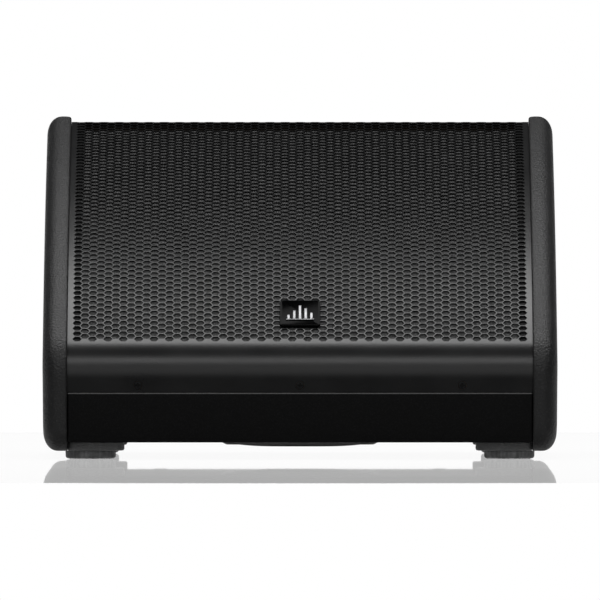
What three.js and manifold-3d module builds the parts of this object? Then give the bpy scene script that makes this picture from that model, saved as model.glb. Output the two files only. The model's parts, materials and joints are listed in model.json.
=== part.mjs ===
// Two-way floor monitor wedge: a plywood cabinet between two moulded end cheeks, with a curved
// perforated screen over a coaxial 12-inch driver, a carry handle in the base and a socket dish behind.
// Millimetres. X runs across the front, Y from the front to the rear, Z up from the floor.
import * as THREE from 'three';
import { mergeVertices } from 'three/addons/utils/BufferGeometryUtils.js';
import Module from 'manifold-3d';

const wasm = await Module();
wasm.setup();

// ---------------------------------------------------------------- driving dimensions
const gap = 0.3; // left between pieces that touch
const sameSpot = 0.05; // points nearer than this are one point

// Cabinet
const cabinetWidth = 524.2;
const baseHeight = 18.6; // from the floor to the underside of the cabinet
const boardThickness = 15;
const frontPanelThickness = 18;
const frontPanelTop = 74.5;
const frontPanelProud = 1.5;
const baffleThickness = 18;
const baffleDrop = 12; // from the screen's chord down to the baffle's face
const baffleShort = 25; // the baffle stops this far before the chord's upper end
const railOverlap = 3; // of the lower rail under the baffle
const railSetback = 0.6; // behind the inside of the screen's low bend
const topRailHeight = 30;
const topRailDepth = 40;
const rearOpenHeight = 34; // left open under the screen's top bend

// Perforated screen, described by the line of its outer face seen from the side
const screenThickness = 1.5;
const screenBottom = 75;
const lowBendHeight = 88.1; // where the upright band ends
const lowBendRadius = 54;
const plainMargin = 1; // flat strip above the low bend
const screenLength = 573; // along the curved face
const slopeLow = 36.9;
const slopeHigh = 17;
const slopeEase = 1.3; // how soon the slope eases off along the face
const topBendRadius = 12;
const rearLip = 32;
const screenScrewRadius = 4.5;
const screenScrewLength = 26;
const screenScrewTip = 2;
const screenScrewHead = 3; // height of the countersunk cone
const screenScrewX = 182.5;
const screenScrewZ = 83;
const foamThickness = 4;
const foamShort = 28; // the foam stops this far below the top bend

// Badge
const badgeWidth = 46;
const badgeLength = 50;
const badgeThickness = 2;
const badgeCorner = 4;
const badgeAlong = 52; // up the curved face
const markThickness = 0.8;
const markGap = 0.1; // between the plate and the mark
const markHeight = 0.52; // of the mark, as a share of the badge's length
const markBars = [0.3, 0.62, 1, 0.78, 0.45]; // heights, as shares of the tallest
const markBarWidth = 0.09; // as a share of the badge's width, like the next two
const markBarPitch = 0.14;
const markStripWidth = 0.68;
const markStripHeight = 1.6;

// End cheeks
const cheekThickness = 27.7;
const cheekProud = 7.6; // beyond the screen
const cheekBottom = 8.8;
const cheekCorner = 30;
const cheekCrest = 10; // from the inner face to the highest line of the edge
const cheekInnerDrop = 2.6;
const cheekRoundHeight = 24;
const cheekFullness = 2.2; // exponent of the outer rounding, where 2 is an ellipse
const cheekTopShort = 6; // the top corner starts this far before the end of the screen's curve

// Feet
const footBlockWidth = 64;
const footBlockLength = 72;
const footBlockCorner = 12;
const footRadius = 28.5;
const footHeight = 8.9;
const footEdge = 3.4;
const footInset = 26.1; // from the cabinet's side to the foot's centre
const frontFootY = 50;
const rearFootInset = 50; // from the rear panel's face to the foot's centre

// Carry handle in the base
const handleY = 150;
const handleWidth = 178;
const handleLength = 138;
const handleFlange = 14;
const handleChamfer = 6;
const handlePlate = 3.3;
const handleWall = 3;
const handleHeight = 50;
const gripDepth = 32;
const gripThickness = 16;
const gripBelowBase = 6.5;
const gripCrown = 2.6;
const cornerRadius = 10;
const baseBoltX = 160;
const baseBoltInset = 56; // in front of the rear panel
const baseBoltRadius = 8.25;
const baseBoltHead = 1.2;
const baseBoltEdge = 0.6;
const baseBoltEnd = 4; // beyond the base panel's top

// Coaxial driver, along the chord and about its own axis, heights from the baffle's face
const driverTopMargin = 85; // from the rim to the baffle's upper end
const driverRadius = 157.5;
const driverHole = driverRadius - 17.5;
const driverFlange = 8;
const basketBottom = 62;
const basketFootRadius = 80;
const basketWall = 3;
const basketShoulder = -20;
const basketWindow = 52; // width of the openings between the basket's arms
const coilRadius = 38;
const coilWall = 1.2;
const coilLength = 39;
const coilTop = -46;
const coneNeck = -48;
const coneRim = -6;
const coneKnee = 27; // from the neck out to where the cone flattens
const coneKneeRise = 12;
const coneRimRadius = driverHole - 22;
const paperThickness = 1.2;
const surroundHeight = 8;
const surroundWall = 1.2;
const spiderHeight = -54;
const spiderRadius = coilRadius + 40;
const spiderRipple = 1.5;
const spiderThickness = 1;
const magnetRadius = 85;
const magnetThickness = 24;
const plateThickness = 8;
const plateShort = 6; // the plates stop this far inside the magnet's edge
const backPlateThickness = 10;
const throatRadius = 16;
const hornMouthRadius = 62;
const hornWall = 2.5;
const hornMouthZ = -2;
const hornFlare = 1.7; // exponent of the bore
const compressionRadius = 55;
const compressionLength = 56;
const compressionEdge = 8;
const throatDepth = 18;
const driverBoltCircle = driverRadius - 7.5;
const driverBoltRadius = 2.8;
const driverBoltHead = 6;
const coilClearance = 1.5;
const coneTravel = 6;

// Bass vents
const ventAlong = 62;
const ventX = 165;
const ventRadius = 39;
const ventWall = 3;
const ventLength = 85;
const ventFlange = 6;
const ventRim = 3.5;

// Socket dish in the rear panel
const dishWidth = 186;
const dishHeight = 80;
const dishDepth = 34;
const dishWall = 2.5;
const dishFlange = 8;
const dishFlangeThickness = 2.5;
const dishCorner = 6;
const dishLedgeX = 20; // of the floor round its window
const dishLedgeY = 16;
const dishZ = 150;
const plateGauge = 2;
const socketX = 44;
const socketRadius = 12;
const socketFlangeRadius = socketRadius + 3;
const socketRim = 2.6;
const socketDepth = 22;
const socketWall = 1.5;
const socketCore = 4.5;
const socketCoreDrop = 3;
const knobRadius = 9;
const knobHeight = 10;
const knobShaftRadius = 2.8;
const knobLow = 1; // above the plate
const pointerWidth = 2.4;
const pointerBeyond = 1.5; // past the knob's edge
const runningClearance = 0.3;
const switchBody = 22;
const switchDepth = 14;

// Crossover network on the base
const boardWidth = 150;
const boardLength = 80;
const boardGauge = 1.6;
const boardLift = 6;
const boardLegRadius = 4;
const boardLegInset = 6;
const boardInset = 86; // from the rear panel's inside to the board's middle
const coilFormRadius = 24;
const coilFormHeight = 20;
const coilFormBore = 8;
const trebleCoilScale = 0.75;
const capacitorRadius = 9;
const capacitorLength = 34;

// ---------------------------------------------------------------- materials
const finish = (color, roughness, metalness = 0) =>
  new THREE.MeshStandardMaterial({ color, roughness, metalness });
const materials = {
  texturedPaint: finish(0x1b1b1c, 0.75),
  moulding: finish(0x3a3a3b, 0.7),
  steel: finish(0x2b2b2c, 0.45, 0.6),
  rubber: finish(0x262626, 0.85),
  foam: finish(0x060606, 1),
  gloss: finish(0x050505, 0.15),
  silver: finish(0xb9bbbd, 0.35, 0.9),
  blackScrew: finish(0x111112, 0.4, 0.8),
  plywood: finish(0x8a6b45, 0.8),
  casting: finish(0x1d1e20, 0.5, 0.6),
  ferrite: finish(0x232324, 0.8),
  plated: finish(0x9c9a8f, 0.4, 0.9),
  paper: finish(0x18181a, 0.9),
  cloth: finish(0x6b4a2a, 0.9),
  plastic: finish(0x141415, 0.5),
  circuit: finish(0x1f4d2b, 0.5),
  copper: finish(0xa5592a, 0.4, 0.9),
  film: finish(0x9a7b1e, 0.45),
};

// ---------------------------------------------------------------- solids
const radians = THREE.MathUtils.degToRad;
const sine = (angle) => Math.sin(radians(angle));
const cosine = (angle) => Math.cos(radians(angle));

// A solid from a closed mesh, with its faces turned outward.
function solid(geometry) {
  const bare = geometry.clone();
  bare.deleteAttribute('normal');
  bare.deleteAttribute('uv');
  const merged = mergeVertices(bare, 1e-4);
  const place = merged.attributes.position.array;
  const faces = [];
  let volume = 0;
  const corner = (index) => new THREE.Vector3().fromArray(place, 3 * index);
  for (let i = 0; i < merged.index.count; i += 3) {
    const [a, b, c] = [0, 1, 2].map((k) => merged.index.getX(i + k));
    if (a === b || b === c || c === a) continue;
    faces.push([a, b, c]);
    volume += corner(a).dot(corner(b).cross(corner(c)));
  }
  if (volume < 0) faces.forEach((face) => face.reverse());
  return new wasm.Manifold(new wasm.Mesh({
    numProp: 3,
    vertProperties: new Float32Array(place),
    triVerts: new Uint32Array(faces.flat()),
  }));
}

function toGeometry(body) {
  const mesh = body.getMesh();
  const geometry = new THREE.BufferGeometry();
  geometry.setAttribute('position', new THREE.BufferAttribute(mesh.vertProperties, 3));
  geometry.setIndex(new THREE.BufferAttribute(mesh.triVerts, 1));
  return geometry;
}

const join = (...bodies) => bodies.reduce((all, body) => all.add(body));
const cut = (body, ...tools) => tools.reduce((left, tool) => left.subtract(tool), body);

// A box between two corners.
function box([x0, y0, z0], [x1, y1, z1]) {
  const geometry = new THREE.BoxGeometry(x1 - x0, y1 - y0, z1 - z0);
  return solid(geometry.translate((x0 + x1) / 2, (y0 + y1) / 2, (z0 + z1) / 2));
}

// A flat outline pushed up along Z, between two heights.
function prism(points, z0, z1) {
  const shape = new THREE.Shape(points.map(([x, y]) => new THREE.Vector2(x, y)));
  const geometry = new THREE.ExtrudeGeometry(shape, { depth: z1 - z0, bevelEnabled: false });
  return solid(geometry.translate(0, 0, z0));
}

// A side view, as points of Y and Z, pushed along X.
function sideways(points, x0, x1) {
  const turn = new THREE.Matrix4().set(0, 0, 1, 0, 1, 0, 0, 0, 0, 1, 0, 0, 0, 0, 0, 1);
  const body = prism(points, x0, x1);
  return solid(toGeometry(body).applyMatrix4(turn));
}

// A profile of radius and height turned about Z.
function turned(profile, segments = 24) {
  const points = profile.map(([r, z]) => new THREE.Vector2(r, z));
  return solid(new THREE.LatheGeometry(points, segments).rotateX(Math.PI / 2));
}

// A ring with a wall between two radii.
const ring = (inner, outer, z0, z1, segments) =>
  turned([[inner, z0], [outer, z0], [outer, z1], [inner, z1], [inner, z0]], segments);
const disc = (radius, z0, z1, segments) =>
  turned([[0, z0], [radius, z0], [radius, z1], [0, z1]], segments);

// A rectangle with round corners, as points.
function roundedRectangle(halfX, halfY, radius, steps = 4) {
  const points = [];
  for (const [sx, sy, start] of [[1, 1, 0], [-1, 1, 90], [-1, -1, 180], [1, -1, 270]]) {
    for (let i = 0; i <= steps; i += 1) {
      const angle = start + (90 * i) / steps;
      points.push([
        sx * (halfX - radius) + radius * cosine(angle),
        sy * (halfY - radius) + radius * sine(angle),
      ]);
    }
  }
  return points;
}

// A skin through rings of the same number of points, closed at both ends.
function loft(rings) {
  const count = rings[0].length;
  const middle = (points) =>
    points.reduce((sum, p) => sum.add(p), new THREE.Vector3()).divideScalar(count);
  const vertices = [...rings.flat(), middle(rings[0]), middle(rings.at(-1))];
  const faces = [];
  for (let i = 0; i < count; i += 1) {
    const next = (i + 1) % count;
    for (let k = 0; k + 1 < rings.length; k += 1) {
      const [a, b] = [k * count + i, k * count + next];
      faces.push(a, b, b + count, a, b + count, a + count);
    }
    const last = (rings.length - 1) * count;
    faces.push(rings.length * count, next, i);
    faces.push(rings.length * count + 1, last + i, last + next);
  }
  const geometry = new THREE.BufferGeometry();
  const place = new Float32Array(vertices.flatMap((v) => v.toArray()));
  geometry.setAttribute('position', new THREE.BufferAttribute(place, 3));
  geometry.setIndex(faces);
  return solid(geometry);
}

// ---------------------------------------------------------------- the screen's line
// Each step is a point of the outer face and the direction in which the line runs there, in degrees.
function arc(path, centreY, centreZ, radius, from, to, steps) {
  for (let i = 0; i <= steps; i += 1) {
    const angle = from + ((to - from) * i) / steps;
    path.push({
      y: centreY - radius * sine(angle),
      z: centreZ + radius * cosine(angle),
      angle,
    });
  }
}

const slopeAt = (along) => {
  const left = Math.max(0, 1 - along / screenLength);
  return slopeHigh + (slopeLow - slopeHigh) * left ** slopeEase;
};

// The point of the curved face a given way up it.
function facePoint(along) {
  const steps = Math.max(1, Math.ceil(along / 4));
  let y = lowBendRadius * (1 - sine(slopeLow)) + plainMargin * cosine(slopeLow);
  let z = lowBendHeight + lowBendRadius * cosine(slopeLow) + plainMargin * sine(slopeLow);
  for (let i = 0; i < steps; i += 1) {
    const angle = slopeAt(((i + 0.5) * along) / steps);
    y += (cosine(angle) * along) / steps;
    z += (sine(angle) * along) / steps;
  }
  return { y, z, angle: slopeAt(along) };
}

// The line from the screen's bottom edge to a given way along the face and round the top bend.
function faceLine(bottom, along, topRadius, bendSteps = 7, faceSteps = 14, topSteps = 7) {
  const path = [{ y: 0, z: bottom, angle: 90 }];
  arc(path, lowBendRadius, lowBendHeight, lowBendRadius, 90, slopeLow, bendSteps);
  for (let i = 0; i <= faceSteps; i += 1) path.push(facePoint((along * i) / faceSteps));
  const end = path.at(-1);
  const centre = [end.y + topRadius * sine(end.angle), end.z - topRadius * cosine(end.angle)];
  arc(path, ...centre, topRadius, end.angle, -90, topSteps);
  return path;
}

// The line moved outward by a distance, as points of Y and Z with no two alike.
function offset(path, distance) {
  const points = path.map(({ y, z, angle }) => [y - distance * sine(angle), z + distance * cosine(angle)]);
  const apart = ([y, z], [y1, z1]) => Math.hypot(y - y1, z - z1) > sameSpot;
  return points.filter((point, i) => i === 0 || apart(point, points[i - 1]));
}

const faceStart = facePoint(0);
const faceEnd = facePoint(screenLength);
const chord = [faceEnd.y - faceStart.y, faceEnd.z - faceStart.z];
const chordAngle = THREE.MathUtils.radToDeg(Math.atan2(chord[1], chord[0]));
const chordLength = Math.hypot(...chord);
const screenRear = faceEnd.y + topBendRadius * sine(slopeHigh) + topBendRadius;
const topBendZ = faceEnd.z - topBendRadius * cosine(slopeHigh);
const rearOuterY = screenRear - screenThickness - gap;
const rearInnerY = rearOuterY - boardThickness;
const frontInnerY = frontPanelThickness - frontPanelProud;
const baseTop = baseHeight + boardThickness;
const halfWidth = cabinetWidth / 2;
const innerHalfWidth = halfWidth - boardThickness;
const cheekInnerX = halfWidth + gap;
const rearTop = topBendZ + topBendRadius - rearOpenHeight;
const baseFrontY = frontInnerY + gap;
const baseRearY = rearInnerY - gap;
const rearFootY = rearOuterY - rearFootInset;
const baseBoltY = rearInnerY - baseBoltInset;
const boardY = rearInnerY - boardInset;
const trayHalfX = handleWidth / 2 - handleFlange;
const trayHalfY = handleLength / 2 - handleFlange / 2;
const driverAlong = chordLength - baffleShort - driverRadius - driverTopMargin;
const baffleDepth = baffleDrop + baffleThickness;
const baffleCornerY = faceStart.y + baffleDepth * sine(chordAngle);
const baffleCornerZ = faceStart.z - baffleDepth * cosine(chordAngle);

// ---------------------------------------------------------------- the model and its groups
const model = new THREE.Group();
const cabinet = new THREE.Group();
const face = new THREE.Group(); // its Y runs up the chord and its Z out of the baffle
const driver = new THREE.Group();
const dish = new THREE.Group(); // its Z points to the rear
model.add(cabinet);
cabinet.add(face, dish);
face.position.set(0, faceStart.y, faceStart.z);
face.rotation.x = radians(chordAngle);
face.add(driver);
driver.position.set(0, driverAlong, -baffleDrop);

function part(name, material, body, group = cabinet, at = [0, 0, 0]) {
  const mesh = new THREE.Mesh(toGeometry(body), materials[material]);
  mesh.name = name;
  mesh.position.set(...at);
  group.add(mesh);
  return mesh;
}

const sides = [['left', -1], ['right', 1]];

// Tools for the holes of the three screen screws.
function screwHoles(radius, length, segments = 12) {
  const hole = disc(radius, 0, length, segments).rotate([-90, 0, 0]);
  return [-1, 0, 1].map((side) => hole.translate([side * screenScrewX, 0, screenScrewZ]));
}

// ---------------------------------------------------------------- cabinet
function makeCabinet() {
  const tray = roundedRectangle(trayHalfX + gap, trayHalfY + gap, cornerRadius);
  const trayHole = prism(tray.map(([x, y]) => [x, y + handleY]), baseHeight - 1, baseTop + 1);
  const boltHole = disc(baseBoltRadius / 2 + gap, baseHeight - 1, baseTop + 1, 12);
  const boltHoles = sides.map(([, side]) => boltHole.translate([side * baseBoltX, baseBoltY, 0]));
  const insideX = innerHalfWidth - gap;
  const base = box([-insideX, baseFrontY, baseHeight], [insideX, baseRearY, baseTop]);
  part('base_panel', 'texturedPaint', cut(base, trayHole, ...boltHoles));

  const front = box([-halfWidth, -frontPanelProud, baseHeight], [halfWidth, frontInnerY, frontPanelTop]);
  part('front_panel', 'texturedPaint', front);

  const rear = box([-halfWidth, rearInnerY, baseHeight], [halfWidth, rearOuterY, rearTop]);
  const dishHole = box(
    [-dishWidth / 2 - gap, rearInnerY - 1, dishZ - dishHeight / 2 - gap],
    [dishWidth / 2 + gap, rearOuterY + 1, dishZ + dishHeight / 2 + gap],
  );
  part('rear_panel', 'texturedPaint', cut(rear, dishHole));

  const line = offset(faceLine(screenBottom, screenLength, topBendRadius), -screenThickness - gap);
  const outline = [[line[0][0], baseHeight], ...line, [line.at(-1)[0], baseHeight]];
  for (const [name, side] of sides) {
    const [x0, x1] = [innerHalfWidth, halfWidth].map((x) => side * x).sort((a, b) => a - b);
    const board = sideways(outline, x0, x1);
    const frontNotch = box([x0 - 1, -20, 0], [x1 + 1, baseFrontY, screenBottom]);
    const rearNotch = box([x0 - 1, baseRearY, 0], [x1 + 1, screenRear + 20, rearTop + gap]);
    part(`side_panel_${name}`, 'texturedPaint', cut(board, frontNotch, rearNotch));
  }

  const railTop = baffleCornerZ - gap;
  const intoBend = Math.max(0, railTop - lowBendHeight);
  const bendInside = lowBendRadius - Math.sqrt((lowBendRadius - screenThickness) ** 2 - intoBend ** 2);
  const rail = box(
    [-innerHalfWidth + gap, bendInside + railSetback, frontPanelTop + gap],
    [innerHalfWidth - gap, baffleCornerY + railOverlap, railTop],
  );
  const holes = screwHoles(screenScrewRadius / 2 + gap, screenScrewLength + 5);
  part('lower_rail', 'plywood', cut(rail, ...holes));

  const railRise = (baseRearY - topRailDepth - baffleCornerY) * Math.tan(radians(chordAngle));
  const topRailTop = baffleCornerZ + railRise - gap;
  part('top_rail', 'plywood', box(
    [-innerHalfWidth + gap, baseRearY - topRailDepth, topRailTop - topRailHeight],
    [innerHalfWidth - gap, baseRearY, topRailTop],
  ));

  const baffle = box(
    [-innerHalfWidth + gap, 0, -baffleDepth],
    [innerHalfWidth - gap, chordLength - baffleShort, -baffleDrop],
  );
  const through = (radius, segments) => disc(radius, -baffleDepth - 1, -baffleDrop + 1, segments);
  const vent = through(ventRadius + ventWall + gap, 24);
  const vents = sides.map(([, side]) => vent.translate([side * ventX, ventAlong, 0]));
  const bolt = through(driverBoltRadius + gap, 12);
  const bolts = driverBolts().map(([x, y]) => bolt.translate([x, driverAlong + y, 0]));
  const hole = through(driverHole, 36).translate([0, driverAlong, 0]);
  part('driver_baffle', 'plywood', cut(baffle, hole, ...vents, ...bolts), face);
}

// ---------------------------------------------------------------- bass vents
function makeVents() {
  const outer = ventRadius + ventWall;
  const tube = turned([
    [ventRadius, -ventLength], [outer, -ventLength], [outer, gap], [outer + ventFlange, gap],
    [outer + ventFlange, ventRim - 1], [outer, ventRim], [ventRadius + 1, ventRim],
    [ventRadius, 1], [ventRadius, -ventLength],
  ]);
  for (const [name, side] of sides) {
    part(`vent_tube_${name}`, 'plastic', tube, face, [side * ventX, ventAlong, -baffleDrop]);
  }
}

// ---------------------------------------------------------------- screen, foam and screws
function makeScreen() {
  const line = faceLine(screenBottom, screenLength, topBendRadius);
  const end = line.at(-1);
  line.push({ y: end.y, z: end.z - rearLip, angle: -90 });
  const outline = [...offset(line, 0), ...offset(line, -screenThickness).reverse()];
  const sheet = sideways(outline, -halfWidth, halfWidth).translate([0, 1, 0]);
  const holes = screwHoles(screenScrewRadius + gap, screenThickness + 2, 16);
  part('screen', 'steel', cut(sheet, ...holes).translate([0, -1, 0]));

  const foamPath = [];
  for (let i = 0; i <= 14; i += 1) {
    foamPath.push(facePoint(((screenLength - foamShort) * i) / 14));
  }
  const top = offset(foamPath, -screenThickness - gap);
  const bottom = offset(foamPath, -screenThickness - gap - foamThickness);
  const foam = sideways([...top, ...bottom.reverse()], -innerHalfWidth + gap, innerHalfWidth - gap);
  part('screen_foam', 'foam', foam);

  const shank = screenScrewRadius / 2;
  const crown = screenScrewLength - 0.2;
  const recess = screenScrewLength - 1.8;
  const screw = turned([
    [0, 0], [shank, screenScrewTip], [shank, screenScrewLength - screenScrewHead],
    [screenScrewRadius, crown - 0.6], [screenScrewRadius, crown], [1.6, crown], [1.2, recess], [0, recess],
  ], 12);
  for (const [name, side] of [['left', -1], ['centre', 0], ['right', 1]]) {
    const mesh = part(`screen_screw_${name}`, 'blackScrew', screw);
    mesh.rotation.x = radians(90);
    mesh.position.set(side * screenScrewX, screenScrewLength, screenScrewZ);
  }
}

// ---------------------------------------------------------------- badge
function makeBadge() {
  const badge = new THREE.Group();
  const { y, z, angle } = facePoint(badgeAlong);
  badge.position.set(0, y, z);
  badge.rotation.x = radians(angle);
  cabinet.add(badge);
  const outline = roundedRectangle(badgeWidth / 2, badgeLength / 2, badgeCorner);
  part('badge_plate', 'gloss', prism(outline, gap, gap + badgeThickness), badge);
  const low = gap + badgeThickness + markGap;
  const height = badgeLength * markHeight;
  const bars = markBars.map((share, i) => {
    const x = (i - (markBars.length - 1) / 2) * badgeWidth * markBarPitch;
    const half = (badgeWidth * markBarWidth) / 2;
    return box([x - half, -height / 2, low], [x + half, height * (share - 0.5), low + markThickness]);
  });
  const stripHalf = (badgeWidth * markStripWidth) / 2;
  const strip = box(
    [-stripHalf, -height / 2 - markStripHeight, low],
    [stripHalf, -height / 2, low + markThickness],
  );
  part('badge_mark', 'silver', join(strip, ...bars), badge);
}

// ---------------------------------------------------------------- end cheeks
// The highest line of a cheek's edge, all the way round.
function cheekLine() {
  const path = faceLine(screenBottom, screenLength - cheekTopShort, cheekCorner - cheekProud);
  const crest = path.map(({ y, z, angle }) => ({
    y: y - cheekProud * sine(angle),
    z: z + cheekProud * cosine(angle),
    angle,
  }));
  const low = cheekBottom + cheekCorner;
  arc(crest, crest.at(-1).y - cheekCorner, low, cheekCorner, -90, -180, 6);
  arc(crest, -cheekProud + cheekCorner, low, cheekCorner, -180, -270, 6);
  const apart = (a, b) => Math.hypot(a.y - b.y, a.z - b.z) > sameSpot;
  return crest.filter((point, i) => i === 0 || apart(point, crest[i - 1]));
}

function makeCheeks() {
  const line = cheekLine();
  const rounding = cheekThickness - cheekCrest;
  const section = [
    [0, cheekInnerDrop], [1, cheekInnerDrop * 0.5], [4, cheekInnerDrop * 0.15], [cheekCrest, 0],
  ];
  for (let i = 1; i <= 6; i += 1) {
    section.push([
      cheekCrest + rounding * sine(15 * i) ** (2 / cheekFullness),
      cheekRoundHeight * (1 - cosine(15 * i) ** (2 / cheekFullness)),
    ]);
  }
  for (const [name, side] of sides) {
    const rings = section.map(([out, drop]) =>
      offset(line, -drop).map(([y, z]) => new THREE.Vector3(side * (cheekInnerX + out), y, z)));
    part(`end_cheek_${name}`, 'moulding', loft(rings));
  }
}

// ---------------------------------------------------------------- feet
function makeFeet() {
  const outline = roundedRectangle(footBlockWidth / 2, footBlockLength / 2, footBlockCorner);
  const block = prism(outline, footHeight + gap, baseHeight - gap);
  const edge = [];
  for (let i = 0; i <= 3; i += 1) {
    edge.push([footRadius - footEdge * (1 - sine(30 * i)), footEdge * (1 - cosine(30 * i))]);
  }
  const pad = turned([[0, 0], ...edge, [footRadius, footHeight], [0, footHeight]]);
  for (const [row, y] of [['front', frontFootY], ['rear', rearFootY]]) {
    for (const [name, side] of sides) {
      const x = side * (halfWidth - footBlockWidth / 2);
      part(`foot_block_${row}_${name}`, 'moulding', block, cabinet, [x, y, 0]);
      part(`foot_pad_${row}_${name}`, 'rubber', pad, cabinet, [side * (halfWidth - footInset), y, 0]);
    }
  }
}

// ---------------------------------------------------------------- carry handle and base bolts
function makeHandle() {
  const flat = (halfX, halfY, z) => roundedRectangle(halfX, halfY, cornerRadius)
    .map(([x, y]) => new THREE.Vector3(x, y, z));
  const plateTop = baseHeight - gap;
  const plate = loft([
    flat(handleWidth / 2 - handleChamfer, handleLength / 2 - handleChamfer, plateTop - handlePlate),
    flat(handleWidth / 2, handleLength / 2, plateTop),
  ]);
  const shell = prism(
    roundedRectangle(trayHalfX, trayHalfY, cornerRadius),
    plateTop - 1, baseHeight + handleHeight,
  );
  const hollow = prism(
    roundedRectangle(trayHalfX - handleWall, trayHalfY - handleWall, cornerRadius - handleWall),
    0, baseHeight + handleHeight - handleWall,
  );
  part('handle_tray', 'moulding', cut(join(plate, shell), hollow), cabinet, [0, handleY, 0]);

  const half = trayHalfX - handleWall - gap;
  const bottom = baseHeight - gripBelowBase;
  const points = [];
  for (let i = -8; i <= 8; i += 1) {
    points.push([(half * i) / 8, bottom + gripCrown * Math.abs(i / 8) ** 4]);
  }
  const top = bottom + gripThickness;
  const grip = prism([...points, [half, top], [-half, top]], 0, gripDepth);
  const mesh = part('handle_grip', 'moulding', grip);
  mesh.rotation.x = radians(90);
  mesh.position.set(0, handleY + gripDepth / 2, 0);

  const shank = baseBoltRadius / 2;
  const headTop = baseHeight - gap;
  const headLow = headTop - baseBoltHead;
  const end = baseTop + baseBoltEnd;
  const bolt = turned([
    [0, headLow], [baseBoltRadius - baseBoltEdge, headLow], [baseBoltRadius, headLow + baseBoltEdge],
    [baseBoltRadius, headTop], [shank, headTop], [shank, end], [0, end],
  ], 16);
  for (const [name, side] of sides) {
    part(`base_bolt_${name}`, 'blackScrew', bolt, cabinet, [side * baseBoltX, baseBoltY, 0]);
  }
}

// ---------------------------------------------------------------- coaxial driver
function driverBolts() {
  const place = (angle) => [driverBoltCircle * cosine(angle), driverBoltCircle * sine(angle)];
  return [45, 135, 225, 315].map(place);
}

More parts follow.
